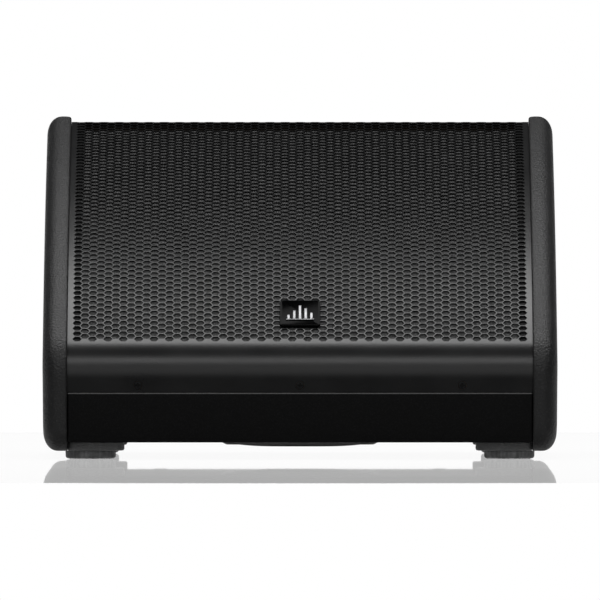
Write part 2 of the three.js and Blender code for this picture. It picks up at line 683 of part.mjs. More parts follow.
function makeDriver() {
  const rimTop = coneRim + paperThickness;
  const boltHole = disc(driverBoltRadius + gap, -5, driverFlange + 5, 12);
  const boltHoles = driverBolts().map(([x, y]) => boltHole.translate([x, y, 0]));
  const basketInner = coilRadius + 4;
  const basketFloor = -basketBottom + basketWall;
  const basket = turned([
    [basketInner, -basketBottom], [basketFootRadius, -basketBottom], [driverHole - 2, basketShoulder],
    [driverHole - 1, gap], [driverRadius, gap], [driverRadius, driverFlange],
    [driverHole - 4, driverFlange], [driverHole - 4, rimTop], [driverHole - 7, coneRim - 2],
    [driverHole - 6, basketShoulder], [basketFootRadius - basketWall, basketFloor],
    [basketInner, basketFloor], [basketInner, -basketBottom],
  ], 32);
  const windowCut = box(
    [basketFootRadius - basketWindow, -basketWindow / 2, basketFloor + 6],
    [driverHole + 5, basketWindow / 2, basketShoulder - 4],
  );
  const windows = [0, 90, 180, 270].map((angle) => windowCut.rotate([0, 0, angle]));
  part('driver_basket', 'casting', cut(basket, ...windows, ...boltHoles), driver);

  const topZ = -basketBottom - gap;
  const magnetTop = topZ - plateThickness - gap;
  const backTop = magnetTop - magnetThickness - gap;
  const gapOuter = coilRadius + coilWall + coilClearance;
  const poleRadius = coilRadius - coilClearance;
  const plateRadius = magnetRadius - plateShort;
  const backLow = backTop - backPlateThickness;
  part('top_plate', 'plated', ring(gapOuter, plateRadius, topZ - plateThickness, topZ), driver);
  const magnet = ring(gapOuter + plateShort, magnetRadius, magnetTop - magnetThickness, magnetTop);
  part('magnet_ring', 'ferrite', magnet, driver);
  const pole = turned([
    [throatRadius, backLow], [plateRadius, backLow], [plateRadius, backTop], [poleRadius, backTop],
    [poleRadius, topZ], [throatRadius, topZ], [throatRadius, backLow],
  ]);
  part('pole_plate', 'plated', pole, driver);

  const coil = ring(coilRadius, coilRadius + coilWall, coilTop - coilLength, coilTop);
  part('voice_coil', 'copper', coil, driver);
  const neck = coilRadius + coilWall + gap;
  const knee = neck + coneKnee;
  const kneeZ = coneNeck + coneKneeRise;
  const cone = turned([
    [neck, coneNeck], [neck + 1, coneNeck - paperThickness], [knee + 1, kneeZ - 1],
    [coneRimRadius, coneRim], [coneRimRadius, rimTop], [knee, kneeZ + 1], [neck, coneNeck],
  ], 28);
  part('cone', 'paper', cone, driver);

  const rollIn = coneRimRadius + gap;
  const rollOut = driverHole - 5 - gap;
  const rollRadius = (rollOut - rollIn) / 2;
  const middle = (rollIn + rollOut) / 2;
  const roll = (radius, height, from, to) => Array.from({ length: 7 }, (_, i) => {
    const angle = from + ((to - from) * i) / 6;
    return [middle + radius * cosine(angle), rimTop + gap + height * sine(angle)];
  });
  const outerRoll = roll(rollRadius, surroundHeight, 180, 0);
  const innerRoll = roll(rollRadius - surroundWall, surroundHeight - surroundWall, 0, 180);
  part('cone_surround', 'rubber', turned([...outerRoll, ...innerRoll, outerRoll[0]], 24), driver);

  const spiderIn = neck + 4;
  const ripple = (z) => Array.from({ length: 7 }, (_, i) =>
    [spiderIn + ((spiderRadius - spiderIn) * i) / 6, z + (i % 2 ? spiderRipple : 0)]);
  const spiderTop = ripple(spiderHeight + spiderThickness);
  const cloth = turned([...spiderTop, ...ripple(spiderHeight).reverse(), spiderTop[0]], 20);
  part('spider', 'cloth', cloth, driver);

  const flare = (extra) => Array.from({ length: 6 }, (_, i) => {
    const opening = (hornMouthRadius - throatRadius) * (i / 5) ** hornFlare;
    return [throatRadius + opening + extra, topZ + gap + ((hornMouthZ - topZ) * i) / 5];
  });
  const outerFlare = flare(hornWall);
  const horn = turned([...outerFlare, ...flare(0).reverse(), outerFlare[0]], 24);
  part('horn_flare', 'plastic', horn, driver);

  const motorTop = backLow - gap;
  const motorLow = motorTop - compressionLength;
  const compression = turned([
    [0, motorLow], [compressionRadius - compressionEdge, motorLow],
    [compressionRadius, motorLow + compressionEdge], [compressionRadius, motorTop - 14],
    [throatRadius + 8, motorTop], [throatRadius, motorTop], [throatRadius - 3, motorTop - throatDepth],
    [0, motorTop - throatDepth],
  ]);
  part('compression_driver', 'casting', compression, driver);

  const head = driverFlange + gap;
  const headTop = head + driverBoltHead;
  const headRadius = driverBoltRadius * 1.8;
  const end = -baffleThickness + 2;
  const bolt = turned([
    [0, end], [driverBoltRadius, end], [driverBoltRadius, head], [headRadius, head], [headRadius, headTop],
    [driverBoltRadius, headTop], [driverBoltRadius * 0.9, head + 2], [0, head + 2],
  ], 12);
  driverBolts().forEach(([x, y], i) => part(`driver_bolt_${i + 1}`, 'blackScrew', bolt, driver, [x, y, 0]));
}

// ---------------------------------------------------------------- socket dish
function makeDish() {
  dish.position.set(0, rearOuterY, dishZ);
  dish.rotation.x = radians(-90);
  const rounded = (halfX, halfY, radius, z0, z1) => prism(roundedRectangle(halfX, halfY, radius), z0, z1);
  const [halfX, halfY] = [dishWidth / 2, dishHeight / 2];
  const shell = box([-halfX, -halfY, -dishDepth], [halfX, halfY, gap + 1]);
  const flangeTop = gap + dishFlangeThickness;
  const flange = rounded(halfX + dishFlange, halfY + dishFlange, dishFlange, gap, flangeTop);
  const floor = -dishDepth + dishWall;
  const hollow = rounded(halfX - dishWall, halfY - dishWall, dishCorner, floor, flangeTop + 1);
  const window = rounded(halfX - dishLedgeX, halfY - dishLedgeY, dishCorner, -dishDepth - 1, 0);
  part('socket_dish', 'moulding', cut(join(shell, flange), hollow, window), dish);

  const plateBottom = -dishDepth + dishWall + gap;
  const plateTop = plateBottom + plateGauge;
  const inset = dishWall + gap;
  const plate = rounded(halfX - inset, halfY - inset, dishCorner, plateBottom, plateTop);
  const socketHole = disc(socketRadius + gap, plateBottom - 1, plateTop + 1, 20);
  const socketHoles = sides.map(([, side]) => socketHole.translate([side * socketX, 0, 0]));
  const shaftHole = disc(knobShaftRadius + runningClearance, plateBottom - 1, plateTop + 1, 16);
  part('socket_plate', 'steel', cut(plate, ...socketHoles, shaftHole), dish);

  const socketFloor = -socketDepth + 7;
  const bore = socketRadius - socketWall;
  const socket = turned([
    [0, -socketDepth], [socketRadius, -socketDepth], [socketRadius, gap], [socketFlangeRadius, gap],
    [socketFlangeRadius, socketRim], [bore, socketRim + 0.4], [bore, socketFloor],
    [socketCore, socketFloor], [socketCore, -socketCoreDrop], [0, -socketCoreDrop],
  ], 20);
  part('socket_input', 'plastic', socket, dish, [-socketX, 0, plateTop]);
  part('socket_link', 'plastic', socket, dish, [socketX, 0, plateTop]);

  const shaftEnd = -plateGauge - switchDepth;
  const knobTop = knobLow + knobHeight;
  const knob = join(
    turned([
      [0, shaftEnd], [knobShaftRadius, shaftEnd], [knobShaftRadius, knobLow], [knobRadius, knobLow],
      [knobRadius - 1, knobTop], [0, knobTop],
    ], 20),
    box([-pointerWidth / 2, 0, knobLow + 1], [pointerWidth / 2, knobRadius + pointerBeyond, knobTop + 1]),
  );
  part('mode_knob', 'plastic', knob, dish, [0, 0, plateTop]);
  const half = switchBody / 2;
  const bodyTop = plateBottom - gap;
  const body = cut(
    box([-half, -half, bodyTop - switchDepth], [half, half, bodyTop]),
    disc(knobShaftRadius + runningClearance, bodyTop - switchDepth - 1, bodyTop + 1, 16),
  );
  part('mode_switch', 'plastic', body, dish);
}

// ---------------------------------------------------------------- crossover network
function makeCrossover() {
  const lift = baseTop + gap;
  const boardTop = lift + boardLift + boardGauge;
  const board = box(
    [-boardWidth / 2, -boardLength / 2, lift + boardLift],
    [boardWidth / 2, boardLength / 2, boardTop],
  );
  const [legX, legY] = [boardWidth / 2 - boardLegInset, boardLength / 2 - boardLegInset];
  const leg = disc(boardLegRadius, lift, lift + boardLift + 0.5, 10);
  const corners = [[-1, -1], [1, -1], [-1, 1], [1, 1]];
  const legs = corners.map(([sx, sy]) => leg.translate([sx * legX, sy * legY, 0]));
  part('crossover_board', 'circuit', join(board, ...legs), cabinet, [0, boardY, 0]);

  const seat = boardTop + gap;
  const inductor = (scale) => {
    const [radius, height] = [coilFormRadius * scale, coilFormHeight * scale];
    return turned([
      [coilFormBore, 0], [radius, 0], [radius, 2], [radius - 2, 3], [radius - 2, height - 3],
      [radius, height - 2], [radius, height], [coilFormBore, height], [coilFormBore, 0],
    ], 20);
  };
  const inductorX = boardWidth / 2 - coilFormRadius - boardLegRadius;
  part('bass_inductor', 'copper', inductor(1), cabinet, [-inductorX, boardY, seat]);
  part('treble_inductor', 'copper', inductor(trebleCoilScale), cabinet, [inductorX, boardY, seat]);
  const can = turned([
    [0, 0], [capacitorRadius - 1, 0], [capacitorRadius, 1],
    [capacitorRadius, capacitorLength - 1], [capacitorRadius - 1, capacitorLength], [0, capacitorLength],
  ], 16);
  for (const [name, side] of [['bass', -1], ['treble', 1]]) {
    const mesh = part(`${name}_capacitor`, 'film', can);
    mesh.rotation.x = radians(-90);
    mesh.position.set(side * (capacitorRadius + 2), boardY - capacitorLength / 2, seat + capacitorRadius);
  }
}

makeCabinet();
makeVents();
makeScreen();
makeBadge();
makeCheeks();
makeFeet();
makeHandle();
makeDriver();
makeDish();
makeCrossover();

// The origin is under the middle of the object's plan.
const cheekEdge = cheekLine().map(({ y }) => y);
cabinet.position.y = -(Math.min(...cheekEdge) + Math.max(...cheekEdge)) / 2;

export default model;
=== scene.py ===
"""Looks of a two-way floor monitor wedge: perforated screen, grained end cheeks, feet and fittings.

Everything is in metres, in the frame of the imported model: X across the front, Y to the rear, Z up.
"""

import json
import math

import bmesh
import bpy
from mathutils import Matrix, Vector


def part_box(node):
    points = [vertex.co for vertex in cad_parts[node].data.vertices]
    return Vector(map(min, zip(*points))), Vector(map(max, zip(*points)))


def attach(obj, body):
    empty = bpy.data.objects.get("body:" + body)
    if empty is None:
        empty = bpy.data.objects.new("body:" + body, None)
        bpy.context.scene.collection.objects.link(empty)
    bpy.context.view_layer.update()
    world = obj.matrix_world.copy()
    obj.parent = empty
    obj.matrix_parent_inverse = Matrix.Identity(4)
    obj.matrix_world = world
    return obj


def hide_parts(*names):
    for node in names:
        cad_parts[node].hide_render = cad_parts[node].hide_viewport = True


bl_info = {
    "name": "Stage Monitor Wedge",
    "version": (1, 0, 0),
    "blender": (4, 5, 0),
    "location": "View3D > Sidebar > Wedge",
    "description": "Models and finishes a floor monitor wedge around its packed frame",
    "category": "Add Mesh",
}

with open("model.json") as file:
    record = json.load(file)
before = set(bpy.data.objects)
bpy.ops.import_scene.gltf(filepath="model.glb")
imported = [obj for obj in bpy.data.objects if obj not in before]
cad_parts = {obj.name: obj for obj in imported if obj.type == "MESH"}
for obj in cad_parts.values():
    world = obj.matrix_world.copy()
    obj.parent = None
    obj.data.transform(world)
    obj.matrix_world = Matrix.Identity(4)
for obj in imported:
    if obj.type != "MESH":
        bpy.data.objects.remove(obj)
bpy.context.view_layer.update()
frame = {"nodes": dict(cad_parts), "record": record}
MM = 0.001
ROOM_LIGHT = 0.022
FLOOR_SHARE = 0.62
FLOOR_DROP = 0.6 * MM


# ------------------------------------------------------------------ settings
def length(name, description, default):
    return bpy.props.FloatProperty(
        name=name, description=description, default=default * MM, unit="LENGTH", precision=4
    )


def angle(name, description, default):
    return bpy.props.FloatProperty(
        name=name, description=description, default=math.radians(default), subtype="ANGLE"
    )


def colour(name, description, default):
    return bpy.props.FloatVectorProperty(
        name=name, description=description, default=default, subtype="COLOR", size=3, min=0, max=1
    )


class ScreenSettings(bpy.types.PropertyGroup):
    pitch: length("Hole pitch", "From one hole to the next up the sheet", 10)
    hole: length("Hole size", "Across the flats of a hole", 9)
    gauge: length("Gauge", "Thickness of the sheet", 1.5)
    band: length("Band", "Height of the upright band under the low bend", 13.1)
    low_radius: length("Low bend", "Outer radius of the low bend", 54)
    top_radius: length("Top bend", "Outer radius of the top bend", 12)
    margin: length("Margin", "Plain strip between the low bend and the holes", 1)
    face: length("Face", "Length of the curved face", 573)
    lip: length("Lip", "Length of the plain lip down the rear", 32)
    slope_low: angle("Low slope", "Slope where the curved face starts", 36.9)
    slope_high: angle("High slope", "Slope where the curved face ends", 17)
    ease: bpy.props.FloatProperty(
        name="Ease", description="How soon the slope eases off up the face", default=1.3
    )
    columns: bpy.props.IntProperty(
        name="Columns", description="Columns of holes on each side of the middle one", default=29
    )
    rows: bpy.props.IntProperty(name="Rows", description="Holes in the longest column", default=58)


class CheekSettings(bpy.types.PropertyGroup):
    proud: length("Proud", "How far the edge stands beyond the screen", 7.6)
    corner: length("Corner", "Radius of the outline's corners", 30)
    top_short: length("Top corner", "How far before the face's end the top corner starts", 6)
    crest: length("Crest", "From the inner face to the edge's highest line", 10)
    drop: length("Inner drop", "How far the edge falls to the inner face", 2.6)
    rounding: length("Rounding", "How far the outer rounding runs in", 24)
    fullness: bpy.props.FloatProperty(
        name="Fullness", description="Exponent of the outer rounding, 2 for an ellipse", default=2.2
    )
    drop_from: length("Inner drop from", "Height over which the inner drop fades away downwards", 60)
    tuck: length("Tuck", "How far the outer face turns in at the bottom", 0.9)
    tuck_from: length("Tuck from", "Height below which the outer face turns in", 110)


class FittingSettings(bpy.types.PropertyGroup):
    edge: length("Edge", "Rounding of small moulded edges", 1.2)
    badge_slope_at: length("Badge place", "How far up the face the badge sits", 52)
    screw_slot: length("Screw slot", "Width of a screw's cross recess", 1.3)
    pad_edge: length("Pad edge", "Rounding under a rubber foot", 3.4)


class PaintSettings(bpy.types.PropertyGroup):
    screen: colour("Screen", "Powder coat on the screen", (0.011, 0.011, 0.0112))
    cheek: colour("Cheeks", "Grained moulding", (0.033, 0.033, 0.0335))
    panel: colour("Panels", "Textured paint", (0.0075, 0.0075, 0.0078))
    # Painted light: the rubber pads and foot blocks are black, but are coloured pale grey to stand in for
    # front fill light reaching them under the cabinet's overhang.
    rubber: colour("Rubber", "Feet", (0.55, 0.55, 0.55))
    foot: colour("Foot blocks", "Moulding of the foot blocks", (0.55, 0.55, 0.55))
    # Painted light: the black foam is coloured mid grey so that the holes read as bright as where light
    # catches the hole walls.
    foam: colour("Foam", "Behind the holes", (0.12, 0.12, 0.12))


class StageSettings(bpy.types.PropertyGroup):
    distance: bpy.props.FloatProperty(
        name="Distance", description="Camera to the front of the wedge", default=26.26, unit="LENGTH"
    )
    height: length("Eye height", "Camera above the floor", 397)
    aim: length("Aim", "Height that the camera looks at", 179)
    lens: bpy.props.FloatProperty(
        name="Lens", description="Focal length in millimetres", default=1400, subtype="NONE"
    )
    floor: bpy.props.FloatProperty(
        name="Floor", description="Radius of the pale floor", default=1.95, unit="LENGTH"
    )
    overhead: bpy.props.FloatProperty(name="Overhead", description="Watts of the top light", default=50)
    strip: bpy.props.FloatProperty(name="Strip", description="Watts of the front strip", default=19)
    fill: bpy.props.FloatProperty(name="Fill", description="Watts of the low front light", default=9)


SETTINGS = {
    "wedge_screen": ScreenSettings,
    "wedge_cheeks": CheekSettings,
    "wedge_fittings": FittingSettings,
    "wedge_paint": PaintSettings,
    "wedge_stage": StageSettings,
}


# ------------------------------------------------------------------ the line of the face
class FaceLine:
    """The line of the screen's outer face seen from the side, by the way along it.

    Zero is where the curved face starts. Below it come the plain margin, the low bend and the
    upright band, and above the curved face the top bend and the rear lip.
    """

    def __init__(self, screen, face=None, top_radius=None):
        self.s = screen
        self.face = face or screen.face
        self.top_radius = top_radius or screen.top_radius
        self.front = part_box("screen")[0].y
        self.bend_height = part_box("screen")[0].z + screen.band
        self.bend_arc = screen.low_radius * (math.pi / 2 - screen.slope_low)
        self.step = 2 * MM
        y, z = self._low_bend(screen.slope_low)
        y += screen.margin * math.cos(screen.slope_low)
        z += screen.margin * math.sin(screen.slope_low)
        self.points = [(y, z)]
        for i in range(math.ceil(self.face / self.step)):
            slope = self.slope((i + 0.5) * self.step)
            y += self.step * math.cos(slope)
            z += self.step * math.sin(slope)
            self.points.append((y, z))

    def slope(self, along):
        left = min(1, max(0, 1 - along / self.s.face))
        return self.s.slope_high + (self.s.slope_low - self.s.slope_high) * left**self.s.ease

    def _low_bend(self, slope):
        r = self.s.low_radius
        return self.front + r * (1 - math.sin(slope)), self.bend_height + r * math.cos(slope)

    def _on_face(self, along):
        i = min(int(along / self.step), len(self.points) - 2)
        share = along / self.step - i
        (y0, z0), (y1, z1) = self.points[i], self.points[i + 1]
        return y0 + (y1 - y0) * share, z0 + (z1 - z0) * share

    def at(self, along):
        """The point that far along, and the slope there."""
        s = self.s
        if along < -s.margin - self.bend_arc:
            y, z = self._low_bend(math.pi / 2)
            return y, z + along + s.margin + self.bend_arc, math.pi / 2
        if along < -s.margin:
            slope = s.slope_low - (along + s.margin) / s.low_radius
            return (*self._low_bend(slope), slope)
        if along < 0:
            y, z = self.points[0]
            return y + along * math.cos(s.slope_low), z + along * math.sin(s.slope_low), s.slope_low
        if along <= self.face:
            return (*self._on_face(along), self.slope(along))
        y, z = self._on_face(self.face)
        end = self.slope(self.face)
        middle = (y + self.top_radius * math.sin(end), z - self.top_radius * math.cos(end))
        slope = max(-math.pi / 2, end - (along - self.face) / self.top_radius)
        beyond = along - self.face - (end + math.pi / 2) * self.top_radius
        y = middle[0] - self.top_radius * math.sin(slope)
        return y, middle[1] + self.top_radius * math.cos(slope) - max(0, beyond), slope

    def place(self, x, along, out):
        """A point of the flat sheet, bent on to the line."""
        y, z, slope = self.at(along)
        return Vector((x, y - out * math.sin(slope), z + out * math.cos(slope)))

    @property
    def top_arc(self):
        return (self.slope(self.face) + math.pi / 2) * self.top_radius


# ------------------------------------------------------------------ modelling tools
def deselect():
    bpy.ops.object.select_all(action="DESELECT")


def choose(*objects):
    deselect()
    for o in objects:
        o.select_set(True)
    bpy.context.view_layer.objects.active = objects[0]


def named(name):
    piece = bpy.context.object
    piece.name = piece.data.name = name
    return piece


def settle(piece):
    """Puts the object's place into its mesh."""
    choose(piece)
    bpy.ops.object.transform_apply(location=True, rotation=True, scale=True)


def modify(piece, kind, **values):
    choose(piece)
    modifier = piece.modifiers.new(kind.title(), kind)
    for key, value in values.items():
        setattr(modifier, key, value)
    bpy.ops.object.modifier_apply(modifier=modifier.name)


def tidy_mesh(piece, distance=1e-6):
    choose(piece)
    bpy.ops.object.mode_set(mode="EDIT")
    bpy.ops.mesh.select_all(action="SELECT")
    bpy.ops.mesh.remove_doubles(threshold=distance)
    bpy.ops.mesh.normals_make_consistent(inside=False)
    bpy.ops.object.mode_set(mode="OBJECT")


def bevel(piece, width, segments=3, limit=35):
    modify(
        piece, "BEVEL", width=width, segments=segments, limit_method="ANGLE",
        angle_limit=math.radians(limit), harden_normals=False,
    )


def block(name, low, high, edge, segments=3):
    """A box between two corners, with rounded edges."""
    deselect()
    middle = (Vector(low) + Vector(high)) / 2
    bpy.ops.mesh.primitive_cube_add(size=1, location=middle, scale=Vector(high) - Vector(low))
    piece = named(name)
    settle(piece)
    bevel(piece, edge, segments)
    return piece


def skin(name, rings, hollow=False):
    """A surface through rings of points, each extruded from the one before.

    A hollow one joins its last ring to its first, so that its section is a closed wall.
    """
    deselect()
    bpy.ops.mesh.primitive_circle_add(vertices=len(rings[0]), radius=1, fill_type="NGON")
    piece = named(name)
    bpy.ops.object.mode_set(mode="EDIT")
    for k, ring in enumerate(rings):
        if k:
            bpy.ops.mesh.extrude_region_move()
        mesh = bmesh.from_edit_mesh(piece.data)
        cap = next(f for f in mesh.faces if f.select)
        for vertex, point in zip(cap.verts, ring):
            vertex.co = point
        bmesh.update_edit_mesh(piece.data)
    if hollow:
        bpy.ops.mesh.select_all(action="DESELECT")
        mesh = bmesh.from_edit_mesh(piece.data)
        for face in mesh.faces:
            face.select = len(face.verts) == len(rings[0])
        bmesh.update_edit_mesh(piece.data)
        bpy.ops.mesh.bridge_edge_loops()
    bpy.ops.object.mode_set(mode="OBJECT")
    settle(piece)
    tidy_mesh(piece)
    return piece


def circle(radius, height, count, turn=Matrix.Identity(4)):
    steps = (2 * math.pi * i / count for i in range(count))
    return [turn @ Vector((radius * math.cos(a), radius * math.sin(a), height)) for a in steps]


def turned(name, profile, place, count=48, hollow=False):
    """A profile of radius and height, turned about the Z of a placing matrix."""
    return skin(name, [circle(r, h, count, place) for r, h in profile], hollow)


def rounded(half_x, half_y, radius, height, place, steps=6):
    """A rectangle with round corners at a height, as points."""
    points = []
    for sx, sy, start in ((1, 1, 0), (-1, 1, 1), (-1, -1, 2), (1, -1, 3)):
        for i in range(steps + 1):
            a = math.pi / 2 * (start + i / steps)
            x = sx * (half_x - radius) + radius * math.cos(a)
            y = sy * (half_y - radius) + radius * math.sin(a)
            points.append(place @ Vector((x, y, height)))
    return points


def cut(piece, *tools):
    """Cuts other pieces out of one, and removes them."""
    for tool in tools:
        modify(piece, "BOOLEAN", operation="DIFFERENCE", solver="EXACT", object=tool)
        bpy.data.objects.remove(tool)


def join(*pieces):
    choose(*pieces)
    bpy.ops.object.join()
    return pieces[0]


def done(piece, slot, node, body="cabinet", material=None, smooth=35):
    """Shades and paints a finished piece, which rides on its body in a packed one's place."""
    choose(piece)
    bpy.ops.object.shade_smooth_by_angle(angle=math.radians(smooth))
    piece.data.materials.clear()
    piece.data.materials.append(material or look(slot))
    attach(piece, body)
    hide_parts(node)


def measured(node):
    """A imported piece's low corner, high corner, middle and half size."""
    low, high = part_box(node)
    return low, high, (low + high) / 2, (high - low) / 2


# ------------------------------------------------------------------ shader tools
class Number:
    """A number that changes over a surface, for use in plain expressions."""

    def __init__(self, nodes, socket):
        self.nodes, self.socket = nodes, socket

    def _maths(self, operation, *values):
        return self.nodes.node("ShaderNodeMath", {"operation": operation}, *values)

    def __add__(self, other):
        return self._maths("ADD", self, other)

    def __sub__(self, other):
        return self._maths("SUBTRACT", self, other)

    def __rsub__(self, other):
        return self._maths("SUBTRACT", other, self)

    def __mul__(self, other):
        return self._maths("MULTIPLY", self, other)

    def __pow__(self, other):
        return self._maths("POWER", self, other)

    __radd__, __rmul__ = __add__, __mul__

    def sine(self):
        return self._maths("SINE", self)

    def ramp(self, low, high, to_low=0, to_high=1):
        """Runs smoothly from one value to another as the number goes from low to high."""
        settings = {"interpolation_type": "SMOOTHSTEP"}
        return self.nodes.node("ShaderNodeMapRange", settings, self, low, high, to_low, to_high)


class Nodes:
    """A node tree, and the one method that adds nodes to it."""

    def __init__(self, tree):
        self.tree = tree

    def node(self, kind, settings, *inputs, output=0, **named_inputs):
        """Adds a node: its settings first, then its sockets in their order or by name."""
        node = self.tree.nodes.new(kind)
        for key, value in settings.items():
            setattr(node, key, value)
        for socket, value in zip(node.inputs, inputs):
            self.feed(socket, value)
        for name, value in named_inputs.items():
            if value is not None:
                self.feed(node.inputs[name.replace("_", " ")], value)
        return Number(self, node.outputs[output])

    def feed(self, socket, value):
        if isinstance(value, Number):
            self.tree.links.new(value.socket, socket)
        elif value is not None:
            socket.default_value = value

    def axes(self, vector):
        return [self.node("ShaderNodeSeparateXYZ", {}, vector, output=i) for i in range(3)]


class Look(Nodes):
    """A procedural material: a Principled shader and what varies over its surface."""

    def __init__(self, name, **constants):
        self.material = bpy.data.materials.new(name)
        self.material.use_nodes = True
        super().__init__(self.material.node_tree)
        self.shader = self.tree.nodes["Principled BSDF"]
        self.coordinates = self.node("ShaderNodeTexCoord", {}, output="Object")
        self.put(**constants)

    def put(self, **values):
        for name, value in values.items():
            self.feed(self.shader.inputs[name.replace("_", " ")], value)

    def noise(self, size, detail=3, roughness=0.5, at=None):
        """Soft clouds whose blobs are about size across, in metres."""
        return self.node(
            "ShaderNodeTexNoise", {}, output="Fac",
            Vector=at or self.coordinates, Scale=1 / size, Detail=detail, Roughness=roughness,
        )

    def cells(self, size, feature="F1", smooth=0.6):
        """Distance to the nearest of many scattered points, size apart."""
        return self.node(
            "ShaderNodeTexVoronoi", {"feature": feature}, output="Distance",
            Vector=self.coordinates, Scale=1 / size,
            Smoothness=smooth if feature == "SMOOTH_F1" else None,
        )

    def stretched(self, x, y, z):
        """Object coordinates with each axis multiplied."""
        return self.node("ShaderNodeMapping", {}, Vector=self.coordinates, Scale=(x, y, z))

    def mix(self, share, first, second):
        """A colour between two others."""
        ends = [value if isinstance(value, Number) else (*value, 1) for value in (first, second)]
        unused = [None] * 5
        return self.node("ShaderNodeMix", {"data_type": "RGBA"}, share, *unused, *ends, output=2)

    def bump(self, height, distance, strength=1.0):
        """Relief, where height 1 stands the given distance above height 0."""
        relief = self.node("ShaderNodeBump", {}, Strength=strength, Distance=distance, Height=height)
        self.put(Normal=relief)


def times(shade, factor):
    return tuple(min(1, c * factor) for c in shade)


# ------------------------------------------------------------------ finishes
def powder_coat(name, shade):
    """Satin powder coat on steel: a fine orange peel with faint wear."""
    look = Look(name, Specular_IOR_Level=0.5)
    peel = look.noise(0.9 * MM, 2)
    patches = look.noise(60 * MM, 3)
    look.put(
        Base_Color=look.mix(patches.ramp(0.35, 0.7), times(shade, 0.85), times(shade, 1.2)),
        Roughness=peel * 0.08 + patches * 0.08 + 0.22,
    )
    look.bump(peel, 0.05 * MM, 0.6)
    return look.material


def grained_moulding(name, shade, grain=2.6):
    """Pebble-grained moulding, as on tough case ends, with a painted highlight on the pebble crowns."""
    look = Look(name, Specular_IOR_Level=0.5)
    warp = look.noise(6 * MM, 2)
    pebbles = look.cells(grain * MM, "SMOOTH_F1", 0.35)
    fine = look.cells(grain * 0.42 * MM, "F1")
    pores = look.noise(0.7 * MM, 2)
    height = (1 - pebbles) * (warp * 0.6 + 0.7) + (1 - fine) * 0.35 + pores * 0.25
    scuff = (look.noise(38 * MM, 4, 0.6) * 0.6 + look.noise(4 * MM, 3) * 0.4).ramp(0.5, 0.68)
    # Painted highlight and shade: pebble crowns get a lighter base colour standing in for sparkle, the
    # hollows a darker one; the scuffs are real wear and the crowns' lower roughness is real gloss.
    crown = height.ramp(0.9, 1.5)
    look.put(
        Base_Color=look.mix(crown * 0.5 + scuff * 0.25, times(shade, 0.6), times(shade, 2.4)),
        Roughness=0.5 - crown * 0.24 + scuff * 0.08,
    )
    look.bump(height, 0.6 * MM, 0.9)
    return look.material


def textured_paint(name, shade, edge=None):
    """Coarse spattered cabinet paint; if an edge's height is given, a painted highlight makes it pale
    along that top edge, where the edge catches the light from above.
    """
    look = Look(name, Specular_IOR_Level=0.16)
    spatter = look.cells(2.2 * MM, "SMOOTH_F1", 0.5)
    grit = look.noise(0.9 * MM, 3, 0.6)
    height = (1 - spatter) * 0.8 + grit * 0.7
    dust = look.noise(120 * MM, 4)
    paint = look.mix(height.ramp(0.7, 1.25), times(shade, 0.7), times(shade, 1.7))
    if edge is not None:
        _, _, z = look.axes(look.coordinates)
        # Painted highlight: the paint turns pale over the top edge, standing in for the light that the
        # rounded edge catches from above.
        painted_edge_highlight = z.ramp(edge - 1.6 * MM, edge - 0.6 * MM) * grit.ramp(0.3, 0.6, 0.35, 1)
        paint = look.mix(painted_edge_highlight, paint, (0.3, 0.3, 0.3))
    look.put(
        Base_Color=paint,
        Roughness=0.55 + grit * 0.15 - height.ramp(1.0, 1.3) * 0.12 + dust * 0.06,
    )
    look.bump(height, 0.3 * MM, 0.8)
    return look.material


def rubber(name, shade):
    """Moulded rubber with a dusty bloom and faint flow lines."""
    look = Look(name, Specular_IOR_Level=0.4)
    fine = look.noise(0.6 * MM, 3)
    bloom = look.noise(9 * MM, 4, 0.6)
    ribs = look.noise(3 * MM, 2, at=look.stretched(1, 1, 0.05))
    tone = (bloom * 0.6 + ribs * 0.4).ramp(0.35, 0.65)
    look.put(
        Base_Color=look.mix(tone, times(shade, 0.75), times(shade, 1.45)),
        Roughness=0.62 + fine * 0.2,
    )
    look.bump(fine * 0.5 + ribs, 0.12 * MM, 0.6)
    return look.material


def open_foam(name, shade):
    """Open-cell foam: a fine net of dark pores."""
    look = Look(name, Roughness=1.0, Specular_IOR_Level=0.15)
    pores = look.cells(1.1 * MM, "DISTANCE_TO_EDGE")
    lumps = look.noise(14 * MM, 3)
    look.put(Base_Color=look.mix(pores.ramp(0.03, 0.2), times(shade, 1.9), times(shade, 0.25)))
    look.bump((1 - pores.ramp(0, 0.22)) + lumps * 0.5, 0.5 * MM, 0.9)
    return look.material


def smooth_plastic(name, shade, roughness=0.42, grain=0.35):
    """Fine spark-eroded plastic."""
    look = Look(name, Specular_IOR_Level=0.5)
    spark = look.noise(grain * MM, 3, 0.7)
    wear = look.noise(18 * MM, 4)
    look.put(
        Base_Color=look.mix(wear.ramp(0.4, 0.7), times(shade, 0.85), times(shade, 1.35)),
        Roughness=roughness + spark * 0.12 + wear.ramp(0.45, 0.75) * 0.08,
    )
    look.bump(spark, 0.06 * MM, 0.5)
    return look.material


def gloss_black(name):
    """Polished black acrylic with hair scratches and a little dust."""
    look = Look(name, Specular_IOR_Level=0.02)
    hairs = look.noise(0.5 * MM, 2, at=look.stretched(0.08, 1, 1))
    dust = look.noise(0.8 * MM, 4, 0.7).ramp(0.66, 0.78)
    look.put(
        Base_Color=look.mix(dust * 0.5, (0.0018, 0.0018, 0.002), (0.05, 0.05, 0.05)),
        Roughness=0.12 + hairs * 0.08 + dust * 0.3,
    )
    look.bump(hairs, 0.01 * MM, 0.3)
    return look.material


def brushed(name, shade, roughness=0.3, metallic=1.0):
    """Brushed or plated metal with fine streaks."""
    look = Look(name, Metallic=metallic)
    streaks = look.noise(0.35 * MM, 3, 0.6, at=look.stretched(0.06, 1, 1))
    stain = look.noise(12 * MM, 3)
    look.put(
        Base_Color=look.mix(stain.ramp(0.3, 0.75), times(shade, 0.82), times(shade, 1.08)),
        Roughness=roughness + streaks * 0.22,
    )
    look.bump(streaks, 0.03 * MM, 0.5)
    return look.material


